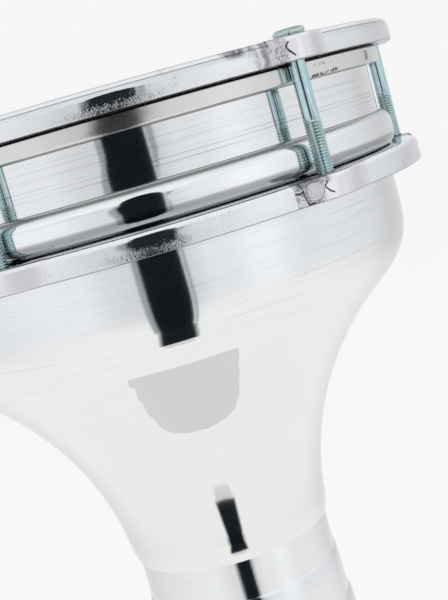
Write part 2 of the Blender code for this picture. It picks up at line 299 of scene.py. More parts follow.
class Shading(Nodes):
    """One node material that is being put together."""

    def __init__(self, name: str) -> None:
        """Start an empty Principled material.

        Args:
            name: The material's name.
        """
        self.material = bpy.data.materials.new(name)
        self.material.use_nodes = True
        super().__init__(self.material.node_tree)
        self.shader = self.tree.nodes["Principled BSDF"]
        coordinates = self.node("ShaderNodeTexCoord")
        self.place = coordinates.outputs["Object"]
        parts = self.node("ShaderNodeSeparateXYZ", {}, {"Vector": self.place})
        self.x, self.y, self.z = (Value(self, parts.outputs[axis]) * 1000.0 for axis in "XYZ")

    def height_bands(self, shades: Sequence[HeightBand]) -> Value:
        """Return the strongest of several bands.

        Args:
            shades: The bands, at least one.

        Returns:
            How strong it is, from 0 to 1.
        """
        strongest = shades[0].mask(self.z)
        for shade in shades[1:]:
            strongest = strongest.most(shade.mask(self.z))
        return strongest

    def radius(self) -> Value:
        """Return the distance from the drum's axis, in millimetres."""
        return (self.x * self.x + self.y * self.y).math("SQRT")

    def azimuth(self) -> Value:
        """Return the azimuth in degrees, from -180 to 180."""
        return self.x.math("ARCTAN2", -self.y) * (180.0 / pi)

    def noise(self, scale: float, detail: float = 3.0, rough: float = 0.5, stretch: Colour = (1.0, 1.0, 1.0)) -> Value:
        """Return soft noise round 0.5.

        Args:
            scale: Blobs per metre.
            detail: How many finer layers there are.
            rough: How strong the finer layers are.
            stretch: A factor on each axis of the place.

        Returns:
            The noise.
        """
        place = self.node("ShaderNodeVectorMath", {"operation": "MULTIPLY"}, {0: self.place, 1: stretch}).outputs[0]
        inputs = {"Vector": place, "Scale": scale, "Detail": detail, "Roughness": rough}
        return Value(self, self.node("ShaderNodeTexNoise", {}, inputs).outputs[0])

    def lines(self, along: Value, per_millimetre: float, detail: float = 4.0, rough: float = 0.6) -> Value:
        """Return noise that changes along one value only, as turning marks do.

        Args:
            along: The value in millimetres that the marks follow one another along.
            per_millimetre: Roughly how many marks there are in a millimetre.
            detail: How many finer layers there are.
            rough: How strong the finer layers are.

        Returns:
            The noise, round 0.5.
        """
        inputs = {"W": along, "Scale": per_millimetre, "Detail": detail, "Roughness": rough}
        return Value(self, self.node("ShaderNodeTexNoise", {"noise_dimensions": "1D"}, inputs).outputs[0])

    def streaks(self, along: Value, per_millimetre: float, per_turn: float, shift: float = 0.0) -> Value:
        """Return noise drawn out round the axis, as marks that fade in and out along a turn.

        Args:
            along: The value in millimetres across the marks.
            per_millimetre: Marks in a millimetre.
            per_turn: How many times a mark changes in one turn.
            shift: Moves the pattern, so that two patterns differ.

        Returns:
            The noise, round 0.5.
        """
        length = self.radius().most(1.0)
        round_x, round_y = (side / length * (per_turn / 6.0) for side in (self.x, self.y))
        place = self.node("ShaderNodeCombineXYZ", {}, {"X": round_x, "Y": round_y, "Z": along * per_millimetre + shift})
        inputs = {"Vector": place.outputs[0], "Scale": 1.0, "Detail": 3.0, "Roughness": 0.6}
        return Value(self, self.node("ShaderNodeTexNoise", {}, inputs).outputs[0])

    def segment(self, across: Value, height: Value, start: Point, end: Point) -> Value:
        """Return the distance from a straight mark.

        Args:
            across: The first coordinate, in millimetres.
            height: The second coordinate, in millimetres.
            start: The mark's first end.
            end: The mark's other end.

        Returns:
            The distance in millimetres.
        """
        run = (end[0] - start[0], end[1] - start[1])
        length = run[0] ** 2 + run[1] ** 2
        off_x = across - start[0]
        off_z = height - start[1]
        share = (off_x * (run[0] / length)).math("ADD", off_z * (run[1] / length), clamp=True)
        gap_x = off_x - share * run[0]
        gap_z = off_z - share * run[1]
        return (gap_x * gap_x + gap_z * gap_z).math("SQRT")

    def crack(self, across: Value, height: Value, points: Sequence[Point], width: float) -> Value:
        """Return the mask of a fine bent crack with ragged edges.

        Args:
            across: The first coordinate, in millimetres.
            height: The second coordinate, in millimetres.
            points: The crack's corners.
            width: Its half width in millimetres.

        Returns:
            1 on the crack and 0 off it.
        """
        gap = self.segment(across, height, points[0], points[1])
        for start, end in zip(points[1:], points[2:]):
            gap = gap.least(self.segment(across, height, start, end))
        ragged = gap + (self.noise(900.0, 2.0) - 0.5) * (width * 1.6)
        return ragged.ramp(width * 1.6, width * 0.5)

    def bump(
        self, height: Value, distance: float, normal: Union[bpy.types.NodeSocket, None] = None
    ) -> bpy.types.NodeSocket:
        """Add a bump.

        Args:
            height: The height from 0 to 1.
            distance: The height of 1, in millimetres.
            normal: The normal of an earlier bump.

        Returns:
            The bumped normal.
        """
        inputs = {"Height": height, "Distance": distance * MILLIMETRE, "Strength": 1.0}
        if normal is not None:
            inputs["Normal"] = normal
        return self.node("ShaderNodeBump", {}, inputs).outputs[0]

    def finish(self, colour: object, roughness: Number, metallic: Number, normal: object) -> bpy.types.Material:
        """Feed the shader.

        Args:
            colour: The base colour or its output.
            roughness: The roughness.
            metallic: 1 for metal.
            normal: The normal's output.

        Returns:
            The finished material.
        """
        inputs = {"Base Color": colour, "Roughness": roughness, "Metallic": metallic, "Normal": normal}
        for name, value in inputs.items():
            self.feed(self.shader.inputs[name], value)
        return self.material


# Finishes


class LatheRun(Enum):
    """How a turned surface runs downwards, as the factor on the radius that is added to the height."""

    NARROWING = 0.55
    FLARING = -0.55


@dataclass(frozen=True)
class FrostedPatch:
    """The dull half-round patch on the bowl, with its place in degrees and millimetres."""

    azimuth: float = -4.6
    half_width: float = 12.6
    widening: float = 0.085
    top: float = 310.6
    depth: float = 28.4
    colour: Colour = (0.735, 0.745, 0.750)
    dulling: float = 0.32

    def mask(self, shading: Shading) -> Value:
        """Return the patch's mask.

        Args:
            shading: The material in hand.

        Returns:
            1 on the patch and 0 off it.
        """
        wave = shading.noise(110.0, 3.0, 0.6) - 0.5
        drop = self.top - shading.z
        side = shading.azimuth() - self.azimuth + wave * 1.4
        lean = side.math("LESS_THAN", 0.0) * wave * 2.6
        reach = abs(side + lean) / (drop.most(0.0) * self.widening + self.half_width)
        depth = (drop + wave * 2.4).most(0.0) / self.depth
        round_edge = (reach ** 3.0 + depth ** 4.6).ramp(1.05, 0.98)
        return round_edge * (drop + wave).ramp(-0.25, 0.25)


@dataclass(frozen=True)
class TurnedAluminium:
    """Cast aluminium turned on a lathe and lightly polished."""

    name: str
    colour: Colour = (0.878, 0.888, 0.893)
    warm: Colour = (0.890, 0.886, 0.872)
    warm_from: Point = (-1.0, -2.0)
    dark: Colour = (0.30, 0.305, 0.315)
    painted_shade_black: Colour = (0.030, 0.032, 0.036)
    roughness: float = 0.06
    run: LatheRun = LatheRun.NARROWING
    groove: float = 0.0026
    streak: float = 0.46
    calm: Point = (-2.0, -1.0)
    dull: Point = (-2.0, -1.0)
    shades: tuple[HeightBand, ...] = ()
    marks: tuple[HeightBand, ...] = ()
    painted_highlights: tuple[HeightBand, ...] = ()
    # Colour and azimuth reach of the painted highlight.
    bright: Colour = (0.960, 0.972, 0.978)
    highlight_side: Point = (46.0, 24.0)
    patch: Union[FrostedPatch, None] = None

    def along(self, shading: Shading) -> Value:
        """Return the value in millimetres across the turning marks."""
        return shading.z + shading.radius() * self.run.value

    def make(self) -> bpy.types.Material:
        """Build the material.

        Returns:
            The material.
        """
        shading = Shading(self.name)
        along = self.along(shading)
        fine = shading.lines(along, 2.6, 5.0, 0.72)
        coarse = shading.lines(along, 0.55, 2.0)
        faded = shading.streaks(along, 1.3, 14.0)
        scratch = shading.streaks(along, 4.2, 5.0, 31.0).ramp(0.56, 0.76)
        cloud = shading.noise(26.0, 3.0)
        lively = shading.z.ramp(*self.calm) * 0.84 + 0.16
        tone = (faded.ramp(0.50, 0.76) * 0.34 + scratch * 0.60) * self.streak + (fine - 0.5) * 0.20
        tone = tone * lively + (cloud - 0.5) * 0.08
        if self.marks:
            tone = tone + shading.height_bands(self.marks) * faded.ramp(0.30, 0.56)
        tint = shading.mix(shading.z.ramp(*self.warm_from) * (cloud * 0.8 + 0.5), self.colour, self.warm)
        # Painted highlight: the highlight bands are painted paler, fading out towards larger azimuths.
        if self.painted_highlights:
            lit = shading.height_bands(self.painted_highlights) * shading.azimuth().ramp(*self.highlight_side)
            tint = shading.mix(lit, tint, self.bright)
        colour = shading.mix(tone.most(0.0), tint, self.dark)
        rough = self.roughness + (cloud - 0.5) * 0.05 + scratch * 0.04 + shading.z.band(*self.dull, 0.35) * 0.30
        height = (fine * 0.7 + coarse * 0.9 + faded * 0.5) * lively
        if self.patch:
            frosted = self.patch.mask(shading)
            grain = shading.noise(1500.0, 2.0)
            colour = shading.mix(frosted, colour, self.patch.colour)
            rough = rough + frosted * self.patch.dulling
            height = height * (1.0 - frosted * 0.5) + frosted * (grain * 0.7 + 0.6)
        # Painted shade: the shades darken the metal towards black at their heights, where forms meet and under other
        # parts.
        if self.shades:
            colour = shading.mix(shading.height_bands(self.shades), colour, self.painted_shade_black)
        return shading.finish(colour, rough.most(LEAST_ROUGHNESS), 1.0, shading.bump(height, self.groove))


@dataclass(frozen=True)
class PolishedBar:
    """Aluminium bar, ground and polished by hand, with soft waves and small pits."""

    name: str
    bottom: float
    edges: tuple[HeightBand, ...]
    worn: Point
    smear: Point = (0.0, 0.0)
    fray: float = 7.0
    height: float = 8.0
    outer: float = 107.5
    colour: Colour = (0.846, 0.858, 0.872)
    dark: Colour = (0.16, 0.16, 0.18)
    painted_shade_black: Colour = (0.030, 0.032, 0.036)
    roughness: float = 0.07
    metallic: float = 0.985

    def make(self) -> bpy.types.Material:
        """Build the material.

        Returns:
            The material.
        """
        shading = Shading(self.name)
        low, top = self.bottom, self.bottom + self.height
        outside = shading.radius().ramp(self.outer - 1.6, self.outer - 1.2).most(shading.z.ramp(low + 4.0, low + 3.0))
        wave = shading.noise(55.0, 3.0, 0.55)
        sand = shading.noise(2600.0, 1.0, 0.5)
        blot = shading.noise(150.0, 4.0, 0.65)
        frayed = shading.z + (shading.noise(1700.0, 2.0, 0.7) - 0.5) * self.fray
        worn = frayed.ramp(low + self.worn[0], low + self.worn[1]) * shading.noise(90.0, 2.0).ramp(0.25, 0.50)
        smudge = blot.ramp(0.54, 0.70) * sand.ramp(0.42, 0.60)
        tone = smudge * 0.35 + (wave - 0.5) * 0.20
        if self.smear[1] > self.smear[0]:
            upper = shading.z.ramp(top - 3.6, top - 1.8) * outside
            turn = shading.azimuth() + (blot - 0.5) * 6.0
            first, last = self.smear
            stroke = turn.band(first, first + 4.5, 0.8) * upper
            streak = turn.band(first + 5.2, first + 6.4, 0.8).most(turn.band(last - 1.8, last, 0.9)) * outside
            tone = tone.most(stroke.most(streak * 0.8) * blot.ramp(0.30, 0.56))
            # Painted shade: the worn slope below the top is made darker on the outer face.
            slope = shading.z.band(top - 2.9, top - 1.5, 0.3) * outside
            tone = tone.most(slope * (blot * 0.28 + 0.04))
        colour = shading.mix(tone.most(0.0), self.colour, self.dark)
        # Painted shade: dark lines along the bar's rounded edges, on its outer face.
        colour = shading.mix(shading.height_bands(self.edges) * outside, colour, self.painted_shade_black)
        rough = self.roughness + (wave - 0.5) * 0.06 + smudge * 0.10 + worn * 0.045
        normal = shading.bump(sand * (worn * 0.88 + 0.12), 0.058, shading.bump(wave, 0.22))
        return shading.finish(colour, rough.most(LEAST_ROUGHNESS), self.metallic, normal)


@dataclass(frozen=True)
class WeldedLug:
    """Lug finish: sanded weld on its left, polished on its right, with fine cracks along the weld."""

    name: str
    bottom: float
    cracks: tuple[tuple[Point, ...], ...]
    sanded: float
    seam: float
    grimy: Point = (0.0, 0.0)
    colour: Colour = (0.860, 0.860, 0.885)
    grey: Colour = (0.40, 0.40, 0.42)
    dark: Colour = (0.045, 0.045, 0.055)

    def make(self) -> bpy.types.Material:
        """Build the material. The lug is modelled on the -Y side and turned into place.

        Returns:
            The material.
        """
        shading = Shading(self.name)
        warp = (shading.noise(520.0, 3.0, 0.6) - 0.5) * 0.9
        across = shading.x + warp
        height = shading.z - self.bottom + warp * 0.7
        crack = shading.crack(across, height, self.cracks[0], 0.24)
        for points in self.cracks[1:]:
            crack = crack.most(shading.crack(across, height, points, 0.22))
        sand = shading.noise(1500.0, 3.0, 0.75)
        blot = shading.noise(260.0, 3.0, 0.6)
        left = shading.x + (blot - 0.5) * 2.0
        sanded = left.ramp(self.sanded + 0.8, self.sanded - 0.8)
        dirt = sanded * sand.ramp(0.46, 0.62) * blot.ramp(0.34, 0.60)
        if self.grimy[1] > self.grimy[0]:
            over = left.band(*self.grimy, 1.0) * height.ramp(4.9, 6.6)
            dirt = dirt.most(over * (sand.ramp(0.36, 0.56) * 0.7 + 0.3))
        wave = shading.noise(110.0, 2.0)
        line = across.band(self.seam - 0.08, self.seam + 0.08, 0.14)
        # Painted shade: the lug is made a little darker right of 1.5 mm along it, standing in for a facet.
        painted_facet_shade = across.ramp(1.0, 1.5) * 0.10
        tone = (sanded * (sand * 0.80 + 0.06) + dirt * 0.45 + painted_facet_shade + (wave - 0.5) * 0.10).most(0.0)
        colour = shading.mix(tone, self.colour, self.grey)
        colour = shading.mix((dirt * 0.54).most(line * 0.22), colour, self.dark)
        # Painted shade: dark lines along the lug's top and bottom edges, added to the dark cracks.
        edges = (HeightBand(self.bottom + 7.75, 0.2, 0.40, 0.50), HeightBand(self.bottom + 0.1, 0.50, 0.3, 0.60))
        colour = shading.mix(crack.most(shading.height_bands(edges)), colour, self.dark)
        rough = 0.08 + sanded * 0.14 + dirt * 0.2 + crack * 0.3 + (wave - 0.5) * 0.08
        relief = sand * sanded * 0.5 + blot * sanded * 0.8 - crack * 2.0
        normal = shading.bump(relief, 0.03, shading.bump(wave, 0.18))
        return shading.finish(colour, rough, 1.0 - crack * 0.6, normal)


@dataclass(frozen=True)
class HoopAluminium:
    """Drawn aluminium strip of the drumhead's hoop, dull and a little scuffed.

    Its marks are given by their azimuths in degrees, and then by their heights in millimetres.
    """

    name: str
    colour: Colour = (0.78, 0.775, 0.75)
    dark: Colour = (0.030, 0.030, 0.030)
    painted_shade_black: Colour = (0.016, 0.017, 0.018)
    metallic: float = 0.95
    scuffed: Point = (34.6, 42.8)
    scuff_line: tuple[float, float, float] = (38.5, 0.06, 386.5)
    upper_scuff: tuple[Point, Point] = ((36.0, 39.4), (389.0, 389.9))
    notch: tuple[Point, Point] = ((55.6, 57.6), (387.2, 390.3))
    stroked: Point = (20.0, 62.0)
    painted_top_shade: Point = (390.95, 391.2)
    painted_foot_shade: HeightBand = HeightBand(385.75, 0.55, 0.3, 0.55)

    def make(self) -> bpy.types.Material:
        """Build the material.

        Returns:
            The material.
        """
        shading = Shading(self.name)
        grain = shading.streaks(shading.z, 3.0, 30.0)
        speck = shading.noise(900.0, 3.0, 0.7)
        blot = shading.noise(330.0, 2.0)
        turn = shading.azimuth()
        patchy = speck * 0.65 + blot * 0.35
        middle, climb, level = self.scuff_line
        low = (shading.z - ((turn - middle) * climb + level)).band(-0.45, 0.45, 0.25)
        scuff = turn.band(*self.scuffed, 0.7) * low * patchy.ramp(0.46, 0.54)
        turns, heights = self.upper_scuff
        high = turn.band(*turns, 0.5) * shading.z.band(*heights, 0.3) * patchy.ramp(0.46, 0.54)
        stroke = shading.streaks(shading.z, 2.2, 60.0, 9.0).ramp(0.60, 0.72) * turn.band(*self.stroked, 3.0)
        turns, heights = self.notch
        notch = turn.band(*turns, 0.5) * shading.z.band(*heights, 0.4) * blot.ramp(0.36, 0.56)
        tone = scuff.most(high * 0.6).most(notch * 0.75).most(stroke * 0.25)
        tone = tone + (grain - 0.5) * 0.17 + speck.ramp(0.62, 0.78) * 0.10
        colour = shading.mix(tone.most(0.0), self.colour, self.dark)
        # Painted shade: a black line along the hoop's top edge under the ring, and a dark line at its foot.
        lines = shading.z.ramp(*self.painted_top_shade).most(self.painted_foot_shade.mask(shading.z))
        colour = shading.mix(lines, colour, self.painted_shade_black)
        rough = 0.14 + (grain - 0.5) * 0.06 + scuff * 0.2
        return shading.finish(colour, rough, self.metallic, shading.bump(grain + speck * 0.5 - scuff, 0.010))


@dataclass(frozen=True)
class ZincPlate:
    """Zinc plating with a pale blue-green passivation. Heights count from the underside of the head."""

    name: str
    colour: Colour = (0.53, 0.715, 0.745)
    tint: Colour = (0.72, 0.85, 0.83)
    dark: Colour = (0.07, 0.14, 0.15)
    stained: Colour = (0.58, 0.60, 0.50)
    thread_from: Point = (-25.6, -26.4)
    root: Point = (2.84, 2.56)
    upper_shade: Point = (0.85, 1.35)
    lower_shade: Point = (0.4, 0.1)

    def make(self) -> bpy.types.Material:
        """Build the material. The bolt's axis is the object's own Z axis.

        Returns:
            The material.
        """
        shading = Shading(self.name)
        cloud = shading.noise(240.0, 3.0)
        speck = shading.noise(1600.0, 2.0)
        drawn = shading.noise(900.0, 2.0, 0.6, (1.0, 1.0, 0.06))
        threaded = shading.z.ramp(*self.thread_from)
        colour = shading.mix(cloud.ramp(0.35, 0.7) * 0.5 + threaded * 0.5, self.colour, self.tint)
        colour = shading.mix(drawn.ramp(0.50, 0.72) * 0.45 + threaded * 0.04, colour, self.dark)
        # Painted shade: the roots of the thread are darker than its crests.
        colour = shading.mix(shading.radius().ramp(*self.root) * threaded * 0.20, colour, self.dark)
        head = shading.z.ramp(-0.1, 0.1)
        stain = shading.noise(420.0, 2.0).ramp(0.46, 0.60)
        colour = shading.mix(head * (stain * 0.55 + 0.30), colour, self.stained)
        # Painted shade: the head darkens towards its top chamfer and towards its underside.
        edges = shading.z.ramp(*self.upper_shade).most(shading.z.ramp(*self.lower_shade))
        colour = shading.mix(head * (edges * 0.52 + speck.ramp(0.60, 0.72) * 0.4), colour, self.dark)
        rough = 0.17 + (cloud - 0.5) * 0.12 + threaded * 0.06
        return shading.finish(colour, rough, 1.0, shading.bump(drawn * 0.8 + speck * 0.5, 0.012))


@dataclass(frozen=True)
class GroundPin:
    """End of a soft aluminium pin, ground flush and a little pitted."""

    name: str
    colour: Colour = (0.80, 0.76, 0.81)
    dark: Colour = (0.52, 0.47, 0.52)
    gap: Colour = (0.06, 0.055, 0.065)
    centre: Point = (-10.0, 352.6)
    radius: float = 3.1

    def make(self) -> bpy.types.Material:
        """Build the material.

        Returns:
            The material.
        """
        shading = Shading(self.name)
        pits = shading.noise(1500.0, 3.0, 0.75)
        cloud = shading.noise(330.0, 2.0)
        colour = shading.mix(pits.ramp(0.40, 0.66) * 0.6 + cloud * 0.2, self.colour, self.dark)
        across, up = shading.x - self.centre[0], shading.z - self.centre[1]
        reach = (across * across + up * up).math("SQRT") + (cloud - 0.5) * 0.5
        colour = shading.mix(reach.ramp(self.radius - 0.5, self.radius - 0.1) * 0.75, colour, self.gap)
        return shading.finish(colour, 0.34 + cloud * 0.12, 1.0, shading.bump(pits, 0.05))


@dataclass(frozen=True)
class WhiteFilm:
    """Smooth white film of the drumhead."""

    name: str
    white: Colour = (0.86, 0.86, 0.84)
    cream: Colour = (0.80, 0.80, 0.77)

    def make(self) -> bpy.types.Material:
        """Build the material.

        Returns:
            The material.
        """
        shading = Shading(self.name)
        cloud = shading.noise(18.0, 3.0)
        grain = shading.noise(2200.0, 2.0)
        colour = shading.mix(cloud.ramp(0.3, 0.8) * 0.5, self.white, self.cream)
        return shading.finish(colour, 0.34 + (cloud - 0.5) * 0.12, 0.0, shading.bump(grain, 0.006))


# Outlines and meshes


def arc(centre: Point, radius: float, start: float, end: float, steps: int) -> list[Point]:
    """Points on an arc, both ends included.

    Args:
        centre: The arc's centre.
        radius: Its radius.
        start: Its first angle in degrees.
        end: Its last angle in degrees.
        steps: How many straight steps it has.

    Returns:
        The points.
    """
    angles = [radians(start + (end - start) * step / steps) for step in range(steps + 1)]
    return [(centre[0] + radius * cos(angle), centre[1] + radius * sin(angle)) for angle in angles]


def bezier(corners: Sequence[Point], steps: int) -> list[Point]:
    """Points on a cubic curve.

    Args:
        corners: Its four control points.
        steps: How many straight steps it has.

    Returns:
        The points, both ends included.
    """
    points = []
    for step in range(steps + 1):
        t = step / steps
        weights = ((1 - t) ** 3, 3 * t * (1 - t) ** 2, 3 * t ** 2 * (1 - t), t ** 3)
        points.append(tuple(sum(w * c[axis] for w, c in zip(weights, corners)) for axis in (0, 1)))
    return points


def offset_inwards(points: Sequence[Point], wall: float) -> list[Point]:
    """Move an outline that runs down the outside of a wall to the wall's inner side.

    Args:
        points: The outline.
        wall: The wall's thickness.

    Returns:
        The moved outline.
    """
    moved = []
    for index, (r, z) in enumerate(points):
        before, after = points[max(index - 1, 0)], points[min(index + 1, len(points) - 1)]
        along = (after[0] - before[0], after[1] - before[1])
        length = hypot(*along)
        moved.append((r + wall * along[1] / length, z - wall * along[0] / length))
    return moved


def rounded_section(inner: float, outer: float, bottom: float, top: float, radii: Sequence[float]) -> list[Point]:
    """Closed outline of a rectangular section with rounded corners.

    Args:
        inner: Its inner radius.
        outer: Its outer radius.
        bottom: Its lowest height.
        top: Its highest height.
        radii: The corners' radii: top outer, bottom outer, bottom inner, top inner.

    Returns:
        The outline.
    """
    first, second, third, fourth = radii
    return (
        arc((outer - first, top - first), first, 90, 0, OUTER_CORNER_STEPS)
        + arc((outer - second, bottom + second), second, 0, -90, OUTER_CORNER_STEPS)
        + arc((inner + third, bottom + third), third, 270, 180, INNER_CORNER_STEPS)
        + arc((inner + fourth, top - fourth), fourth, 180, 90, INNER_CORNER_STEPS)
    )


def worn_corner(outer: float, top: float, drop: float, tilt: float) -> list[Point]:
    """Upper outer corner of a bar that polishing has worn into a slope, from its top down to its upright face.

    Args:
        outer: The bar's outer radius.
        top: Its highest height.
        drop: How far below the top the slope meets the upright face.
        tilt: The slope's tilt in degrees.

    Returns:
        The outline.
    """
    blend, crest = 1.5, 1.25
    lean = radians(tilt)
    low = top - drop - blend * tan(lean / 2)
    setback = (drop - crest) * tan(lean)
    round_top = crest / (1 - sin(lean))
    centre = (outer - setback - round_top * cos(lean), top - round_top)
    return (
        arc(centre, round_top, 90, tilt, 6)
        + arc((outer - blend, low), blend, tilt, 0, 4)
        + [(outer, low - 0.35)]
    )


def linked(name: str, data: Union[bpy.types.ID, None]) -> bpy.types.Object:
    """Make an object and link it to the scene.

    Args:
        name: Its name.
        data: Its mesh, camera or lamp.

    Returns:
        The object.
    """
    item = bpy.data.objects.new(name, data)
    bpy.context.scene.collection.objects.link(item)
    return item


def new_object(name: str, mesh: bpy.types.Mesh, material: bpy.types.Material) -> bpy.types.Object:
    """Link a smooth-shaded object.

    Args:
        name: Its name.
        mesh: Its mesh.
        material: Its material.

    Returns:
        The object.
    """
    item = linked(name, mesh)
    mesh.materials.clear()
    mesh.materials.append(material)
    mesh.shade_smooth()
    mesh.set_sharp_from_angle(angle=radians(SHARP_ANGLE))
    return item


def written_mesh(shape: bmesh.types.BMesh, name: str) -> bpy.types.Mesh:
    """Write a bmesh to a new mesh as it is.

    Args:
        shape: The bmesh, which is freed.
        name: The mesh's name.

    Returns:
        The mesh.
    """
    mesh = bpy.data.meshes.new(name)
    shape.to_mesh(mesh)
    shape.free()
    return mesh


def closed_mesh(shape: bmesh.types.BMesh, name: str) -> bpy.types.Mesh:
    """Weld a bmesh, turn its faces out and write it to a mesh.

    Args:
        shape: The bmesh, which is freed.
        name: The mesh's name.

    Returns:
        The mesh.
    """
    bmesh.ops.remove_doubles(shape, verts=shape.verts, dist=WELD_DISTANCE)
    bmesh.ops.recalc_face_normals(shape, faces=shape.faces)
    return written_mesh(shape, name)


def join_rings(shape: bmesh.types.BMesh, rings: Sequence[Sequence[bmesh.types.BMVert]]) -> None:
    """Join rings of corners into a closed body, from its first ring to its last.

    Args:
        shape: The bmesh that holds the corners.
        rings: The rings, all with the same number of corners.
    """
    for ring, following in zip(rings, rings[1:]):
        for k in range(len(ring)):
            after = (k + 1) % len(ring)
            shape.faces.new((ring[k], ring[after], following[after], following[k]))
    shape.faces.new(rings[0][::-1])
    shape.faces.new(rings[-1])


def turned_mesh(name: str, outline: Sequence[Point], facets: int = TURNED_FACETS) -> bpy.types.Mesh:
    """Spin a closed outline of (radius, height) points round the Z axis.

    Args:
        name: The mesh's name.
        outline: The outline in millimetres.
        facets: Facets in a turn.

    Returns:
        The mesh.
    """
    shape = bmesh.new()
    rings = []
    for r, z in outline:
        spots = [2 * pi * k / facets for k in range(facets)] if r > 0.0 else [0.0]
        rings.append(
            [shape.verts.new((r * sin(a) * MILLIMETRE, -r * cos(a) * MILLIMETRE, z * MILLIMETRE)) for a in spots]
        )
    for index, ring in enumerate(rings):
        following = rings[(index + 1) % len(rings)]
        if len(ring) == 1 and len(following) == 1:
            continue
        for k in range(facets):
            corners = [ring[k % len(ring)], ring[(k + 1) % len(ring)]]
            corners += [following[(k + 1) % len(following)], following[k % len(following)]]
            unique = list(dict.fromkeys(corners))
            if len(unique) > 2:
                shape.faces.new(unique)
    return closed_mesh(shape, name)


def prism(shape: bmesh.types.BMesh, outline: Sequence[Point], bottom: float, top: float) -> None:
    """Add an upright prism to a bmesh.

    Args:
        shape: The bmesh.
        outline: The flat outline in millimetres.
        bottom: Its lowest height.
        top: Its highest height.
    """
    low, high = (
        [shape.verts.new((x * MILLIMETRE, y * MILLIMETRE, z * MILLIMETRE)) for x, y in outline] for z in (bottom, top)
    )
    shape.faces.new(low[::-1])
    shape.faces.new(high)
    for index in range(len(outline)):
        following = (index + 1) % len(outline)
        shape.faces.new((low[index], low[following], high[following], high[index]))


def circle(radius: float, facets: int, centre: Point) -> list[Point]:
    """Points round a circle, anticlockwise.

    Args:
        radius: Its radius.
        facets: How many points it has.
        centre: Its centre.

    Returns:
        The points.
    """
    spots = [2 * pi * k / facets for k in range(facets)]
    return [(centre[0] + radius * cos(angle), centre[1] + radius * sin(angle)) for angle in spots]


def cut_away(mesh: bpy.types.Mesh, cutter: bpy.types.Mesh) -> bpy.types.Mesh:
    """Cut one closed mesh from another.

    Args:
        mesh: The mesh to cut.
        cutter: What is taken away.

    Returns:
        The cut mesh.
    """
    item, tool = linked("cut_item", mesh), linked("cut_tool", cutter)
    modifier = item.modifiers.new("cut", "BOOLEAN")
    modifier.operation = "DIFFERENCE"
    modifier.solver = "EXACT"
    modifier.object = tool
    bpy.context.view_layer.update()
    result = bpy.data.meshes.new_from_object(item.evaluated_get(bpy.context.evaluated_depsgraph_get()))
    for thing in (item, tool):
        bpy.data.objects.remove(thing)
    return result


# The drum


@dataclass
class Heights:
    """The heights that the sub-assemblies share, in millimetres above the floor.

    The ring plane is the underside of the top ring.
    """

    ring_plane: float = 392.0
    ring_height: float = 8.0
    lower_ring_top: float = 356.6

    def level(self, depth: float) -> float:
        """Return the height above the floor of a depth below the ring plane."""
        return self.ring_plane - depth

    def at_level(self, points: Sequence[Point]) -> list[Point]:
        """Return (radius, depth) points as (radius, height) points."""
        return [(r, self.level(depth)) for r, depth in points]


